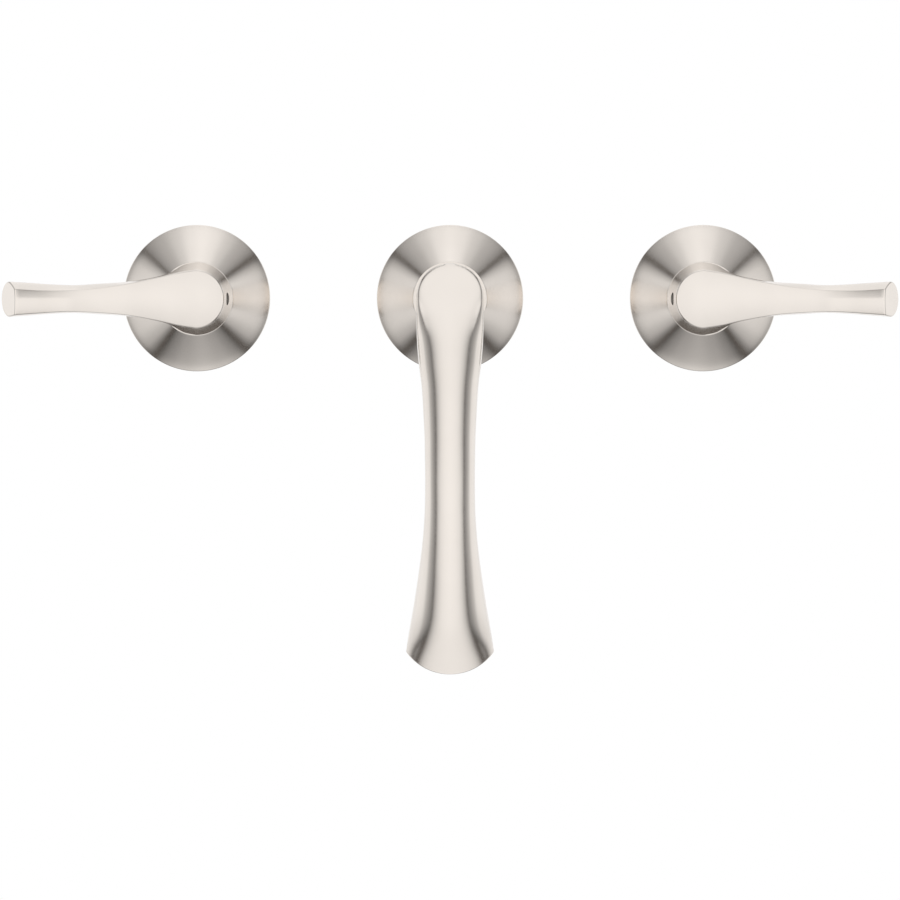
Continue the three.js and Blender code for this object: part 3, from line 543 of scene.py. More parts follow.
def half_section(u, q, edges):
    """The lever's half-section at u: q runs from the middle of the front, over the edge, to the back."""
    face = min(q / FACE_SHARE, 1)
    wall = min(max((q - FACE_SHARE) / WALL_SHARE, 0), 1)
    under = max((q - FACE_SHARE - WALL_SHARE) / (1 - FACE_SHARE - WALL_SHARE), 0)
    edge, side = along(edges, u), along(SIDE_HALF, u)
    hub_w = (edge * face + (side - edge) * wall) * (1 - under)
    hub_d = HUB_CREASE_D + HUB_DOME * (1 - face * face) + (HUB_D - HUB_CREASE_D) * wall
    arm_w, arm_h = arm_section(u, edge, side, face, wall, under)
    blend = smooth(*BLEND_U, u)
    return np.array([hub_w + (arm_w - hub_w) * blend, (hub_d - ARM_AXIS_D) * (1 - blend) + arm_h * blend])


def soft_section(u, q, edges):
    """half_section with its two corners rounded."""
    for corner in (FACE_SHARE, FACE_SHARE + WALL_SHARE):
        if abs(q - corner) < SOFT_SHARE:
            t = (q - corner + SOFT_SHARE) / (2 * SOFT_SHARE)
            a = half_section(u, corner - SOFT_SHARE, edges)
            c = half_section(u, corner + SOFT_SHARE, edges)
            return (1 - t) ** 2 * a + 2 * t * (1 - t) * half_section(u, corner, edges) + t**2 * c
    return half_section(u, q, edges)


def lever_point(u, q, hand, edges, shrink):
    """The point of the lever's skin at u and q, with its section drawn in by shrink."""
    bend = math.tan(ARM_TIP_TILT) / (ARM_TIP_U - ARM_RISE_U)
    past = max(u - ARM_RISE_U, 0)
    tilt = math.atan(bend * past)
    w, h = soft_section(min(u, ARM_TIP_U), q, edges)
    size = 1 - shrink / ARM_TIP_R
    w, h = w * size, h * size
    depth = ARM_AXIS_D + 0.5 * bend * past * past + h * math.cos(tilt)
    return np.array([hand * (u - h * math.sin(tilt)), -depth, w])


def section_shares():
    """Where a half-section is sampled: closer together at the two soft corners."""
    first, second = FACE_SHARE, FACE_SHARE + WALL_SHARE
    stops = [0, first - SOFT_SHARE, first + SOFT_SHARE, second - SOFT_SHARE, second + SOFT_SHARE, 1]
    shares = [0.0]
    for low, high, steps in zip(stops, stops[1:], (14, 6, 14, 6, 10)):
        shares += list(np.linspace(low, high, steps + 1)[1:])
    return shares


TIP_SOFT = 0.6              # radius of the end face's edge
TIP_STEPS = 5


def lever_path():
    """(u, shrink) up to the tip: along the arm and round the soft edge of the end face."""
    path = [(float(u), 0.0) for u in np.linspace(0, ARM_TIP_U - TIP_SOFT, 56)]
    for k in range(1, TIP_STEPS + 1):
        turn = math.pi / 2 * k / TIP_STEPS
        path.append((ARM_TIP_U - TIP_SOFT + TIP_SOFT * math.sin(turn), TIP_SOFT * (1 - math.cos(turn))))
    return path


def lever_skin(name, hand):
    """Rings run in along the arm's upper side, round the hub, out along its lower side and up its end."""
    path = lever_path()
    turn_steps, face_steps = 40, 8
    rings = []
    for q in section_shares():
        half = [lever_point(u, q, hand, EDGE_ABOVE, shrink) for u, shrink in reversed(path)]
        ring = list(half)
        hub = half[-1]
        for k in range(1, turn_steps):
            turn = math.pi * k / turn_steps
            ring.append(np.array([-hand * hub[2] * math.sin(turn), hub[1], hub[2] * math.cos(turn)]))
        ring += [lever_point(u, q, hand, EDGE_BELOW, shrink) * (1, 1, -1) for u, shrink in path]
        low, high = ring[-1], ring[0]
        ring += [low + (high - low) * k / face_steps for k in range(1, face_steps)]
        rings.append([tuple(point + (hand * CENTRES, 0, 0)) for point in ring])
    return finished(name, rings_mesh(rings), sharp_deg=50)


def shade_hole_walls(piece, x, hand):
    """Give the walls of the set screw's hole a dark, rough nickel: the roughness is the drilled surface, the
    dark colour is painted shade in the hole.
    """
    piece.data.materials.append(HOLE_SHADE)
    widest = (SCREW_HOLE_R + 0.02) * MM
    for face in piece.data.polygons:
        reach = math.hypot(face.center.y + SCREW_D * MM, face.center.z)
        past_axis = (x * MM - face.center.x) * hand
        if reach < widest and past_axis > SCREW_HOLE[0] * MM and abs(face.normal.x) < 0.5:
            face.material_index = 1


def lever(side, hand):
    node = f"{side}_lever"
    x = hand * CENTRES
    skin = lever_skin(fine(node), hand)
    back = -HUB_D + CUT_PAST
    pocket = turned("pocket", [(0, SOCKET["front"]), (SOCKET["radius"], SOCKET["front"]),
                               (SOCKET["radius"], RECESS["front"]), (RECESS["radius"], RECESS["front"]),
                               (RECESS["radius"], back), (0, back)], x=x)
    near, far = SCREW_HOLE
    hole = drill(SCREW_HOLE_R, x - hand * near, x - hand * far, y=-SCREW_D, axis="X", steps=40)
    piece = carved(skin, pocket, hole)
    shade(piece, CARVED_SHARP_DEG)
    # the walls of the set screw hole get painted shade
    shade_hole_walls(stand_for(weighted(piece), node, ALONG_ARM), x, hand)


# The spout: a round stub with a tilted face, and a tongue that hangs from it and flares to the mouth

SPOUT_END_Z = LIP_Z - 6
# The spout's axis, as (y, z): nearly level along the stub, then down the tongue
AXIS_KNOTS = [
    (ON_COLLAR_Y, 0), (-40, 0.7), (-62, 1.3), (-86, 1.4), (-99.5, -2.8), (-108.6, -12.5), (-113.5, -26),
    (-117.5, -40), (-121, -57), (-123.3, -78), (-124.2, -97), (-124.6, -112), (-SPOUT_REACH, -127),
    (-126.6, -140), (-127, SPOUT_END_Z),
]
# By the drop below the spout's root: half-width, depth of the face's middle, how far the face bulges
# (front depth over half-width), and half-depth of the back
SPOUT_HALF = [
    (-4, HEAD_R), (13, HEAD_R), (24, 12.35), (33, 11.2), (44, 10.5), (56, 9.95), (80, 9.88), (96, 11),
    (116, 13.75), (132, 16.5), (137, MOUTH_A), (-SPOUT_END_Z, 18.4),
]
FACE_DEPTH = [
    (-16, 114), (0, 118), (30, 125.5), (57, 132), (80, 135.6), (97, 138), (110, 140.2), (125, 143.9),
    (138, 149), (152, 156),
]
BULGE_SHARE = [
    (-14, 0.08), (-7, 0.12), (0, 0.22), (7, 0.48), (15, 0.84), (23, 0.96), (39, 1.02), (70, 1), (97, 1.12),
    (112, 1.2), (118, 1.2), (124, 1.12), (132, 0.78), (137, 0.55), (142, 0.4), (-SPOUT_END_Z, 0.3),
]
BACK_HALF = [(-4, 13.1), (10, 12.6), (26, 11), (57, 9.9), (97, 10.3), (116, 11.6), (132, 12.4), (150, 12.6)]
CREASE_SOFT = 0.8           # roundness of the edge between the face and the sides
SQUARE_UNTIL = 0.12         # over this share the sections turn to face along the axis
TANGENT_STEP = 0.004
WATERWAY_DROP = 115.5       # drop at which the waterway meets the outlet's bore
WATERWAY_FROM = 0.12        # share of the spout's length where it leaves the socket
POCKET_DROP = 127.3         # top of the pocket round the outlet
WIDEST_REACH = 50           # beyond any point of the skin, from the axis
HALVINGS = 20               # of the range in which an edge is sought
SHARP_BULGE = (0.45, 0.85)  # the edge turns sharp between these bulges

AXIS_PLACES = [0]
for before, after in zip(AXIS_KNOTS, AXIS_KNOTS[1:]):
    AXIS_PLACES.append(AXIS_PLACES[-1] + math.dist(before, after))
SPOUT_LENGTH = AXIS_PLACES[-1]
AXIS_Y = [(place, knot[0]) for place, knot in zip(AXIS_PLACES, AXIS_KNOTS)]
AXIS_Z = [(place, knot[1]) for place, knot in zip(AXIS_PLACES, AXIS_KNOTS)]


def axis_point(v):
    place = min(max(v, 0), 1) * SPOUT_LENGTH
    return along(AXIS_Y, place), along(AXIS_Z, place)


def share_at(drop):
    """Share of the spout's length at which its axis has dropped this far."""
    low, high = 0.5, 1
    for _ in range(HALVINGS + 4):
        middle = (low + high) / 2
        if -axis_point(middle)[1] < drop:
            low = middle
        else:
            high = middle
    return low


def axis_frame(v):
    """Point of the spout's axis at the share v of its length, and the unit direction outward there."""
    y, z = axis_point(v)
    (y0, z0), (y1, z1) = axis_point(v - TANGENT_STEP), axis_point(v + TANGENT_STEP)
    long = math.hypot(y1 - y0, z1 - z0)
    turned_by = smooth(0, SQUARE_UNTIL, v)
    ty, tz = -1 + (1 + (y1 - y0) / long) * turned_by, (z1 - z0) / long * turned_by
    size = math.hypot(ty, tz)
    return y, z, tz / size, -ty / size


def on_spout(axis, sideways, outward):
    """The point at a distance sideways and outward from the spout's axis."""
    y, z, out_y, out_z = axis
    return sideways, y + outward * out_y, z + outward * out_z


def soft_max(a, b, soft):
    return max(a, b) + (max(soft - abs(a - b), 0) ** 2 / (4 * soft) if soft > 0 else 0)


def beyond_skin(point):
    """How far a point is outside the face and the outline that the spout has from the front."""
    x, y, z = point
    rise = HEAD_RISE * smooth(COLLAR_D, HEAD_D, -y)
    half = HEAD_R if z > rise else along(SPOUT_HALF, -z)
    share = along(BULGE_SHARE, -z)
    outline = math.hypot(x, z - rise) - HEAD_R if z > rise else abs(x) - half
    bulge = share * half * (1 - math.sqrt(max(1 - (x / half) ** 2, 0)))
    face = -y - along(FACE_DEPTH, -z) + bulge
    return soft_max(outline, face, CREASE_SOFT * (1 - smooth(*SHARP_BULGE, share)))


def skin_reach(axis, angle):
    """Distance from the axis to the skin, straight out at an angle round the spout."""
    low, high = 0, WIDEST_REACH
    for _ in range(HALVINGS):
        middle = (low + high) / 2
        if beyond_skin(on_spout(axis, middle * math.sin(angle), middle * math.cos(angle))) < 0:
            low = middle
        else:
            high = middle
    return low


def spout_skin_point(v, angle, inset):
    axis = axis_frame(v)
    if math.cos(angle) > NEARLY_ZERO:
        reach = skin_reach(axis, angle) - inset
        return on_spout(axis, reach * math.sin(angle), reach * math.cos(angle))
    half, back = along(SPOUT_HALF, -axis[1]), along(BACK_HALF, -axis[1])
    return on_spout(axis, (half - inset) * math.sin(angle), (back - inset) * math.cos(angle))


def lip_height(point):
    """Height of the mouth's edge at a point: an arch in front, level with its corners behind."""
    arch = LIP_Z + LIP_ROUNDING + LIP_ARCH_R
    if point[1] > -SPOUT_REACH:
        return arch - math.sqrt(LIP_ARCH_R**2 - MOUTH_A**2)
    return arch - math.sqrt(LIP_ARCH_R**2 - min(abs(point[0]), MOUTH_A) ** 2)


def lip_share(angle):
    """Where along the spout its skin reaches the mouth's edge, at an angle round it."""
    low, high = 0.85, 1.0
    for _ in range(HALVINGS):
        middle = (low + high) / 2
        point = spout_skin_point(middle, angle, 0)
        if point[2] > lip_height(point):
            low = middle
        else:
            high = middle
    return low


def circle_y(radius, y, angles):
    """A ring of the spout about the shank's axis."""
    return [(radius * math.sin(a), y, radius * math.cos(a)) for a in angles]


def circle_z(radius, z, angles):
    """A ring of the spout about the outlet's axis."""
    return [(radius * math.sin(a), -SPOUT_REACH - radius * math.cos(a), z) for a in angles]


LIP_SOFT = 0.5              # radius of the lip's two edges
LIP_STEPS = 5
ROOT_INSET = 0.35           # chamfer at the spout's root
ROOT_EDGE = 0.0015          # and the share of the length where it ends
TURN_FROM, TURN_TO = 0.36, 0.54  # shares between which the stub turns into the tongue
FRONT_STEPS, BACK_STEPS = 124, 44


def spout_angles():
    """Angles round the spout, closer together across its front half."""
    front = [math.pi * (j / FRONT_STEPS - 0.5) for j in range(FRONT_STEPS)]
    return front + [math.pi * (j / BACK_STEPS + 0.5) for j in range(BACK_STEPS)]


def spout_shares():
    """Where the rings of the spout's skin lie: closest where the stub turns into the tongue."""
    stub = list(np.linspace(ROOT_EDGE, TURN_FROM, 22))
    turn = list(np.linspace(TURN_FROM, TURN_TO, 110))[1:]
    return stub + turn + list(np.linspace(TURN_TO, 1, 50))[1:-1]


def outer_rings(angles, ends, soft):
    """The skin down to where the lip's edge starts; ends are the shares at which it meets the lip."""
    rings = [[spout_skin_point(0, a, ROOT_INSET) for a in angles]]
    for share in spout_shares():
        rings.append([spout_skin_point(share * (end - soft), a, 0) for a, end in zip(angles, ends)])
    return rings


def lip_rings(angles, ends, soft):
    """Round the outer edge of the lip and then round its inner edge."""
    turns = [math.pi / 2 * k / LIP_STEPS for k in range(LIP_STEPS + 1)]
    edge = [(LIP_SOFT * (1 - math.cos(turn)), soft * (1 - math.sin(turn))) for turn in turns]
    edge += [(SPOUT_WALL - inset, back) for inset, back in reversed(edge)]
    return [[spout_skin_point(end - back, a, inset) for a, end in zip(angles, ends)] for inset, back in edge]


def pocket_rings(angles, ends, soft):
    """Up the inside of the mouth to the top of the pocket."""
    pocket_from = share_at(POCKET_DROP)
    rings = []
    for t in np.linspace(0, 1, 12)[1:]:
        rings.append([spout_skin_point((end - soft) + (pocket_from - end + soft) * t, a, SPOUT_WALL)
                      for a, end in zip(angles, ends)])
    return rings


def bore_rings(angles):
    """Up the outlet's bore, through the waterway and out of the socket."""
    rings = [circle_z(OUTLET_R + OUTLET_CHAMFER, OUTLET_MOUTH - OUTLET_CHAMFER, angles),
             circle_z(OUTLET_R, OUTLET_MOUTH, angles), circle_z(OUTLET_R, OUTLET_TOP, angles)]
    for v in np.linspace(share_at(WATERWAY_DROP), WATERWAY_FROM, 40):
        axis = axis_frame(v)
        rings.append([on_spout(axis, WATERWAY_R * math.sin(a), WATERWAY_R * math.cos(a)) for a in angles])
    socket_r = SHANK_R + SHANK_SLACK
    return rings + [circle_y(WATERWAY_R, SOCKET_END, angles), circle_y(socket_r, SOCKET_END, angles),
                    circle_y(socket_r, ON_COLLAR_Y, angles)]


def spout():
    """One closed skin: down the outside, round the lip and back up through the mouth, waterway and socket."""
    angles = spout_angles()
    ends = [lip_share(a) for a in angles]
    soft = LIP_SOFT / SPOUT_LENGTH
    rings = outer_rings(angles, ends, soft) + lip_rings(angles, ends, soft)
    rings += pocket_rings(angles, ends, soft) + bore_rings(angles)
    piece = finished(fine("spout_body"), rings_mesh(rings, wrap_rings=True), CARVED_SHARP_DEG)
    piece = carved(piece, drill(SCREW_HOLE_R, *SPOUT_HOLE_Z, y=SPOUT_SCREW_Y, axis="Z", steps=40))
    shade(piece, CARVED_SHARP_DEG)
    stand_for(weighted(piece), "spout_body", DOWN_SPOUT)


# Trim fixings and the outlet, from outlines of (radius, place along the axis) points

def softened(corners, radius=0.35):
    return rounded(corners, radius, steps=3)


def tube_outline(inner, outer, low, high):
    return [(inner, low), (outer, low), (outer, high), (inner, high)]


def rod(radius, low, high, soft=0.8):
    """Outline of a rod from the axis out and back, with soft edges."""
    return rounded([(0, low), (radius, low), (radius, high), (0, high)], [0, soft, soft, 0], closed=False)


GASKET = tube_outline(22.6, 25.4, -1.4, -0.02)
NUT_R, NUT_FRONT = 12, -21.9  # the nut that clamps a handle's escutcheon
ESCUTCHEON_NUT = tube_outline(9.5, NUT_R, NUT_FRONT, ON_COLLAR_Y)
SLOT_HALF, SLOT_DEPTH = 1.2, 1.3  # its wrench slot
BONNET_NUT = [(7.8, -8.6), (13.3, -8.6), (13.3, -0.5)] + hexagon(15.6, -0.5, -11.5, 1.7, 1)
BONNET_NUT += [(9.1, -11.5)] + ridged(9.1, -12, -22.2) + [(7.8, -22.2)]
# These are by their height above the top of the outlet's bore
OUTLET_SEAL = tube_outline(6.4, 8.1, -1.8, -0.3)
OUTLET_HOUSING = [(5.6, -12.5), (8.2, -12.5), (8.2, -2.1), (6.6, -2.1), (6.6, -10.6), (5.6, -10.6)]
SCREEN_LOW, SCREEN_TOP = -10.2, -8.8
SCREEN_R = 6.3
SCREEN_HOLE_R = 0.9
HOLES_ROUND = 6             # round the middle one
HOLES_AT = 3.6              # radius of the circle they lie on


def fixed(piece, node):
    """Show the piece in its slot's material and keep it out of the trim's reflections."""
    piece.visible_glossy = False
    stand_for(piece, node, MATERIALS[SLOT_OF[node]])


def gasket(node, x):
    fixed(turned(fine(node), softened(GASKET), x=x, steps=128), node)


def bonnet_nut(side, x):
    node = f"{side}_bonnet_nut"
    fixed(turned(fine(node), BONNET_NUT, x=x, sharp_deg=30), node)


def escutcheon_nut(side, x):
    node = f"{side}_escutcheon_nut"
    piece = turned(fine(node), softened(ESCUTCHEON_NUT, 0.3), x=x)
    reach = NUT_R + CUT_PAST
    slot = boxed("slot", (x - SLOT_HALF, NUT_FRONT - CUT_PAST, -reach),
                 (x + SLOT_HALF, NUT_FRONT + SLOT_DEPTH, reach))
    fixed(weighted(carved(piece, slot)), node)


def outlet():
    ring = {"y": -SPOUT_REACH, "axis": "Z", "steps": 72}
    for node, outline, radius in (("outlet_seal", OUTLET_SEAL, 0.5), ("outlet_housing", OUTLET_HOUSING, 0.3)):
        placed = [(across, OUTLET_TOP + height) for across, height in outline]
        fixed(turned(fine(node), softened(placed, radius), **ring), node)
    low, high = OUTLET_TOP + SCREEN_LOW, OUTLET_TOP + SCREEN_TOP
    screen = turned(fine("outlet_screen"), rod(SCREEN_R, low, high, 0.3), **ring)
    turns = [2 * math.pi * i / HOLES_ROUND for i in range(HOLES_ROUND)]
    centres = [(0, 0)] + [(HOLES_AT * math.cos(turn), HOLES_AT * math.sin(turn)) for turn in turns]
    holes = [drill(SCREEN_HOLE_R, low - CUT_PAST, high + CUT_PAST, x=x, y=y - SPOUT_REACH, axis="Z", steps=20)
             for x, y in centres]
    fixed(weighted(carved(screen, *holes)), "outlet_screen")


# Rough-in behind the wall

FLANGE_HALF = 14
FLANGE_HOLE_R = 2.6
FLANGE_BEVEL = 1.2
VALVE_FLANGE = (27, 22)     # half-height, and the screws' distance from the middle
TEE_FLANGE = (22, 16)
CASTING_BACK = 54.5         # the castings end inside their flanges
PORT_R = TUBE_R - TUBE_WALL
TUBE_SOCKET_R = TUBE_R + GAP
VALVE = [(0, -8), (13, -8), (13, 16), (15.5, 16), (15.5, CASTING_BACK), (0, CASTING_BACK)]
VALVE_SOFT = [0, 0.6, 1.2, 1.2, 0.2, 0]
CHAMBER = [(0, -9), (9.9, -9), (9.9, 38.2), (6.9, 38.2), (6.9, 50), (0, 50)]
BOSS_R, BOSS_END = 9.5, 25  # the outlet boss, from the valve's axis
BOSS_SOCKET_FROM = 13
PORT_END = 20
INLET_R, INLET_END = 11, -36
FEED = [(0, -37), (8.2, -37), (8.2, -16), (5.5, -16), (5.5, 0), (0, 0)]
NIPPLE = [(6, -62), (9.9, -62)] + ridged(10.4, -61.5, -44, 1.8, 0.6) + [(10.4, -43.3)]
NIPPLE += hexagon(12.7, -43.3, -36.3, 1.3, 0.8) + [(7.9, -36.3), (7.9, -16.6), (7.6, -16.3), (6, -16.3)]
TEE_R, TEE_HALF = 10, 23
TEE_REAR_R, TEE_REAR_FROM = 8, 32
SOCKET_DEEP = 12            # how far a tube goes into the tee
BRANCH_R, BRANCH_FRONT = 13, 6  # the branch that takes the shank
BRANCH_SOCKET_END = 22
SHANK_BACK, THREAD_END = 21.6, -16
SHANK_FRONT = SOCKET_END + 0.6
CHAMFER = 0.4               # at the shank's ends
GROOVES_Y = (-29, -34.5)    # for its O-rings
GROOVE_HALF = 1.1
GROOVE_R = 7.5
SHANK_NUT = [(9.2, -0.45)] + hexagon(15, -0.45, -5.95, 1.8, 0.85) + [(9.2, -5.95)]


def flange(half, screw_at, x):
    back = FLANGE_Y + FLANGE_THICK
    plate = boxed("flange", (x - FLANGE_HALF, FLANGE_Y, -half), (x + FLANGE_HALF, back, half))
    holes = [drill(FLANGE_HOLE_R, FLANGE_Y - CUT_PAST, back + CUT_PAST, x=x, z=z, steps=32)
             for z in (-screw_at, screw_at)]
    return carved(bevelled(plate, FLANGE_BEVEL), *holes)


def valve_body(side, hand):
    node = f"{side}_valve_body"
    x = hand * CENTRES
    port = {"y": PORT_Y, "axis": "X"}
    inlet = {"x": x, "y": INLET_Y, "axis": "Z"}

    def inward(near, far):
        return sorted((x - hand * near, x - hand * far))

    body = turned(fine(node), rounded(VALVE, VALVE_SOFT, closed=False), x=x)
    body = joined(body, turned("boss", rod(BOSS_R, *inward(0, BOSS_END)), steps=64, **port),
                  turned("inlet", rod(INLET_R, INLET_END, 0), steps=64, **inlet), flange(*VALVE_FLANGE, x))
    bore = drill(PORT_R, *inward(0, PORT_END), steps=48, **port)
    socket = drill(TUBE_SOCKET_R, *inward(BOSS_SOCKET_FROM, BOSS_END + CUT_PAST), steps=48, **port)
    feed = turned("feed", FEED, steps=48, **inlet)
    body = carved(body, turned("chamber", CHAMBER, x=x), bore, socket, feed)
    shade(body, CARVED_SHARP_DEG)
    fixed(weighted(body), node)


def inlet_nipple(side, x):
    node = f"{side}_inlet_nipple"
    fixed(turned(fine(node), NIPPLE, x=x, y=INLET_Y, axis="Z", sharp_deg=30), node)


def spout_tee():
    node = "spout_tee"
    body = turned(fine(node), rod(TEE_R, -TEE_HALF, TEE_HALF), y=PORT_Y, axis="X", steps=64)
    rear = rod(TEE_REAR_R, TEE_REAR_FROM, CASTING_BACK)
    body = joined(body, turned("branch", rod(BRANCH_R, BRANCH_FRONT, PORT_Y)), turned("rear", rear),
                  flange(*TEE_FLANGE, 0))
    end, seat = TEE_HALF + CUT_PAST, TEE_HALF - SOCKET_DEEP
    run = [(0, -end), (TUBE_SOCKET_R, -end), (TUBE_SOCKET_R, -seat), (PORT_R, -seat), (PORT_R, seat),
           (TUBE_SOCKET_R, seat), (TUBE_SOCKET_R, end), (0, end)]
    front, radius = BRANCH_FRONT - CUT_PAST, SHANK_R + GAP
    socket = [(0, front), (radius, front), (radius, BRANCH_SOCKET_END), (WATERWAY_R, BRANCH_SOCKET_END),
              (WATERWAY_R, PORT_Y), (0, PORT_Y)]
    body = carved(body, turned("run", run, y=PORT_Y, axis="X", steps=48), turned("socket", socket))
    shade(body, CARVED_SHARP_DEG)
    fixed(weighted(body), node)


def manifold_tube(side, hand):
    node = f"{side}_manifold_tube"
    ends = sorted((hand * (TEE_HALF - SOCKET_DEEP + GAP), hand * (CENTRES - BOSS_SOCKET_FROM - GAP)))
    outline = softened(tube_outline(PORT_R, TUBE_R, *ends), 0.2)
    fixed(turned(fine(node), outline, y=PORT_Y, axis="X", steps=64), node)


def shank():
    outline = [(WATERWAY_R, SHANK_BACK)] + ridged(SHANK_R, SHANK_BACK - CHAMFER, THREAD_END)
    outline.append((SHANK_R, THREAD_END - 0.2))
    for y in GROOVES_Y:
        outline += [(SHANK_R, y + GROOVE_HALF), (GROOVE_R, y + GROOVE_HALF), (GROOVE_R, y - GROOVE_HALF),
                    (SHANK_R, y - GROOVE_HALF)]
    outline += [(SHANK_R, SHANK_FRONT + CHAMFER), (SHANK_R - CHAMFER, SHANK_FRONT),
                (WATERWAY_R, SHANK_FRONT)]
    fixed(turned(fine("spout_shank"), outline), "spout_shank")
    fixed(turned(fine("shank_nut"), SHANK_NUT, sharp_deg=30), "shank_nut")


for side, hand in HANDS.items():
    axis_x = hand * CENTRES
    lever(side, hand)
    bell(f"{side}_escutcheon", axis_x, BELL_BORE)
    gasket(f"{side}_escutcheon_gasket", axis_x)
    escutcheon_nut(side, axis_x)
    bonnet_nut(side, axis_x)
    valve_body(side, hand)
    inlet_nipple(side, axis_x)
    manifold_tube(side, hand)
bell("spout_escutcheon", 0, SHANK_R + GAP)
gasket("spout_escutcheon_gasket", 0)
spout()
outlet()
shank()
spout_tee()

# Pieces hidden inside the others keep the model's own meshes
for node, cad in frame["nodes"].items():
    if fine(node) not in bpy.data.objects:
        cad.data.materials.clear()
        cad.data.materials.append(MATERIALS[SLOT_OF[node]])
        cad.visible_glossy = False


# Studio: soft panels that only reflections and surfaces see, a white wall board and a pale floor

WHITE = (1, 1, 1)
NEAR_BLACK = (0.075, 0.062, 0.052)
FLOOR_TINT = (0.9, 0.89, 0.875)
FLOOR_Z = -0.75
WALL_Y = 0.0005             # just behind the escutcheons' backs
BOARD_SIZE = 8
FLOOR_SIZE = 4
WALL_FADE = (0.62, 0.9)     # how far back a direction points where dark turns white
CAMERA_AT = (0, -5.0, 0.049)
CAMERA_TARGET = (0, 0, -0.061)
LENS = 498                  # millimetres, on a 36 mm sensor


def emitter(name):
    material = bpy.data.materials.new(name)
    material.use_nodes = True
    tree = material.node_tree
    tree.nodes.remove(tree.nodes["Principled BSDF"])
    emission = tree.nodes.new("ShaderNodeEmission")
    tree.links.new(emission.outputs["Emission"], tree.nodes["Material Output"].inputs["Surface"])
    return material, tree, emission


def multiplied(tree, first, second):
    """The first socket times the second, which may also be a plain number."""
    node = tree.nodes.new("ShaderNodeMath")
    node.operation = "MULTIPLY"
    tree.links.new(first, node.inputs[0])
    if isinstance(second, float):
        node.inputs[1].default_value = second
    else:
        tree.links.new(second, node.inputs[1])
    return node.outputs[0]


def profile(tree, value, stops):
    """A level that follows (place, level) stops smoothly as value goes from 0 to 1."""
    ramp = tree.nodes.new("ShaderNodeValToRGB")
    ramp.color_ramp.interpolation = "EASE"
    points = ramp.color_ramp.elements
    while len(points) > 1:
        points.remove(points[-1])
    for i, (place, level) in enumerate(stops):
        point = points[0] if i == 0 else points.new(place)
        point.position = place
        point.color = (level, level, level, 1)
    tree.links.new(value, ramp.inputs["Fac"])
    return ramp.outputs["Color"]


def flat_sheet(name, origin, across, up):
    """A sheet with one corner at origin; its UV map gives the place along both edges."""
    mesh = bmesh.new()
    origin, across, up = Vector(origin), Vector(across), Vector(up)
    corners = [origin, origin + across, origin + across + up, origin + up]
    face = mesh.faces.new([mesh.verts.new(corner) for corner in corners])
    layer = mesh.loops.layers.uv.new("uv")
    for loop, place in zip(face.loops, ((0, 0), (1, 0), (1, 1), (0, 1))):
        loop[layer].uv = place
    data = bpy.data.meshes.new(name)
    mesh.to_mesh(data)
    mesh.free()
    sheet = bpy.data.objects.new(name, data)
    bpy.context.scene.collection.objects.link(sheet)
    sheet.visible_shadow = False
    return sheet


def panel(name, origin, across, up, across_stops, up_stops, strength):
    """A glowing sheet that the camera doesn't see: its brightness follows the stops along both edges."""
    sheet = flat_sheet(name, origin, across, up)
    material, tree, emission = emitter(name)
    split = tree.nodes.new("ShaderNodeSeparateXYZ")
    tree.links.new(tree.nodes.new("ShaderNodeTexCoord").outputs["UV"], split.inputs[0])
    level = multiplied(tree, profile(tree, split.outputs["X"], across_stops),
                       profile(tree, split.outputs["Y"], up_stops))
    tree.links.new(multiplied(tree, level, strength), emission.inputs["Strength"])
    sheet.data.materials.append(material)
    sheet.visible_camera = False


def mirrored(stops):
    """Stops up to the middle, and the same again beyond it."""
    return stops + [(1 - place, level) for place, level in reversed(stops[:-1])]


def lights():
    """Panels in front, below, above and on both sides, with narrow dark gaps between them."""
    panel("front_light", (-2.9, -1.3, -1.2), (5.8, 0, 0), (0, 0, 4.0),
          mirrored([(0, 0.1), (0.12, 0.44), (0.19, 0.57), (0.285, 0.78), (0.35, 0.9), (0.42, 0.97),
                    (0.5, 1)]),
          [(0, 0.86), (0.33, 1), (0.62, 0.93), (0.98, 0.84), (1, 0.3)], 1.10)
    for name, side in (("left_arm_light", -1), ("right_arm_light", 1)):
        panel(name, (side * 0.7, -1.28, -1.0), (side * 2.1, 0, 0), (0, 0, 1.25),
              [(0, 1), (0.45, 0.97), (0.75, 0.86), (1, 0.5)], [(0, 0.9), (0.7, 1), (0.88, 1), (1, 0.8)], 1.12)
    panel("low_light", (-0.94, -1.5, -1.2), (1.88, 0, 0), (0, 2.2, 0),
          mirrored([(0, 0.1), (0.07, 0.45), (0.13, 0.6), (0.29, 0.84), (0.5, 1)]),
          [(0, 0.92), (0.5, 0.9), (0.68, 0.78), (0.78, 0.52), (0.9, 0.4), (1, 0.4)], 1.0)
    panel("top_light", (-1.45, -0.42, 1.25), (2.9, 0, 0), (0, 2.6, 0),
          mirrored([(0, 0.3), (0.187, 0.47), (0.308, 0.69), (0.408, 0.92), (0.5, 1)]),
          [(0, 0.2), (0.06, 0.95), (0.3, 1), (0.6, 0.92), (1, 0.96)], 1.10)
    for name, side in (("left_light", -1), ("right_light", 1)):
        panel(name, (side, -0.5, -1.11), (0, 1.9, 0), (0, 0, 1.86),
              [(0, 0.2), (0.1, 0.36), (0.22, 0.55), (0.36, 0.97), (0.6, 1), (1, 1)],
              [(0, 0.15), (0.06, 0.3), (0.146, 0.56), (0.36, 0.82), (0.6, 1), (0.84, 0.85), (0.912, 0.64),
               (1, 0.2)], 1.02)


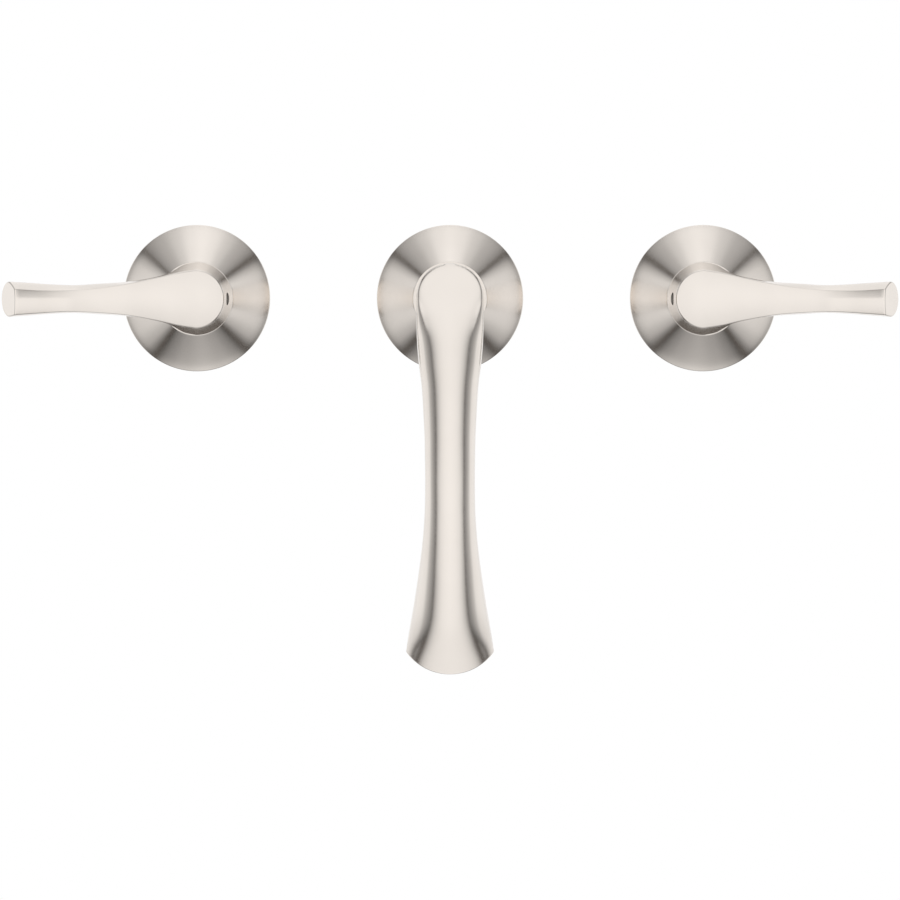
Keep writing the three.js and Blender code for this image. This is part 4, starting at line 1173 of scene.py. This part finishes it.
def world():
    """White where the camera looks and beyond the wall, dark between the panels."""
    scene = bpy.context.scene
    scene.world = bpy.data.worlds.new("studio")
    scene.world.use_nodes = True
    tree = scene.world.node_tree
    background = tree.nodes["Background"]
    split = tree.nodes.new("ShaderNodeSeparateXYZ")
    tree.links.new(tree.nodes.new("ShaderNodeTexCoord").outputs["Generated"], split.inputs[0])
    behind = ranged(tree, split.outputs["Y"], 0, 1, *WALL_FADE)
    surround = tinted(tree, behind, NEAR_BLACK, WHITE)
    seen = tree.nodes.new("ShaderNodeMix")
    seen.data_type = "RGBA"
    seen.inputs["B"].default_value = (*WHITE, 1)
    tree.links.new(tree.nodes.new("ShaderNodeLightPath").outputs["Is Camera Ray"], seen.inputs["Factor"])
    tree.links.new(surround, seen.inputs["A"])
    tree.links.new(seen.outputs["Result"], background.inputs["Color"])


def board(name, origin, across, up, tint):
    """A glowing sheet that only the camera sees, and only from in front."""
    sheet = flat_sheet(name, origin, across, up)
    material, tree, emission = emitter(name)
    emission.inputs["Color"].default_value = (*tint, 1)
    through = tree.nodes.new("ShaderNodeBsdfTransparent")
    mix = tree.nodes.new("ShaderNodeMixShader")
    tree.links.new(tree.nodes.new("ShaderNodeNewGeometry").outputs["Backfacing"], mix.inputs["Fac"])
    tree.links.new(emission.outputs["Emission"], mix.inputs[1])
    tree.links.new(through.outputs["BSDF"], mix.inputs[2])
    tree.links.new(mix.outputs["Shader"], tree.nodes["Material Output"].inputs["Surface"])
    sheet.data.materials.append(material)
    sheet.visible_glossy = False
    sheet.visible_diffuse = False


def stage():
    """The white wall just behind the escutcheons, and a pale floor well below."""
    left, front = -BOARD_SIZE / 2, WALL_Y - FLOOR_SIZE
    board("wall", (left, WALL_Y, FLOOR_Z), (BOARD_SIZE, 0, 0), (0, 0, BOARD_SIZE), WHITE)
    board("floor", (left, front, FLOOR_Z), (BOARD_SIZE, 0, 0), (0, FLOOR_SIZE, 0), FLOOR_TINT)


def camera():
    data = bpy.data.cameras.new("camera")
    data.sensor_width = 36
    data.lens = LENS
    data.clip_end = 50
    eye = bpy.data.objects.new("camera", data)
    bpy.context.scene.collection.objects.link(eye)
    place, target = Vector(CAMERA_AT), Vector(CAMERA_TARGET)
    eye.location = place
    eye.rotation_euler = (target - place).to_track_quat("-Z", "Y").to_euler()
    bpy.context.scene.camera = eye


lights()
world()
stage()
camera()
bpy.context.scene.view_settings.view_transform = "Standard"
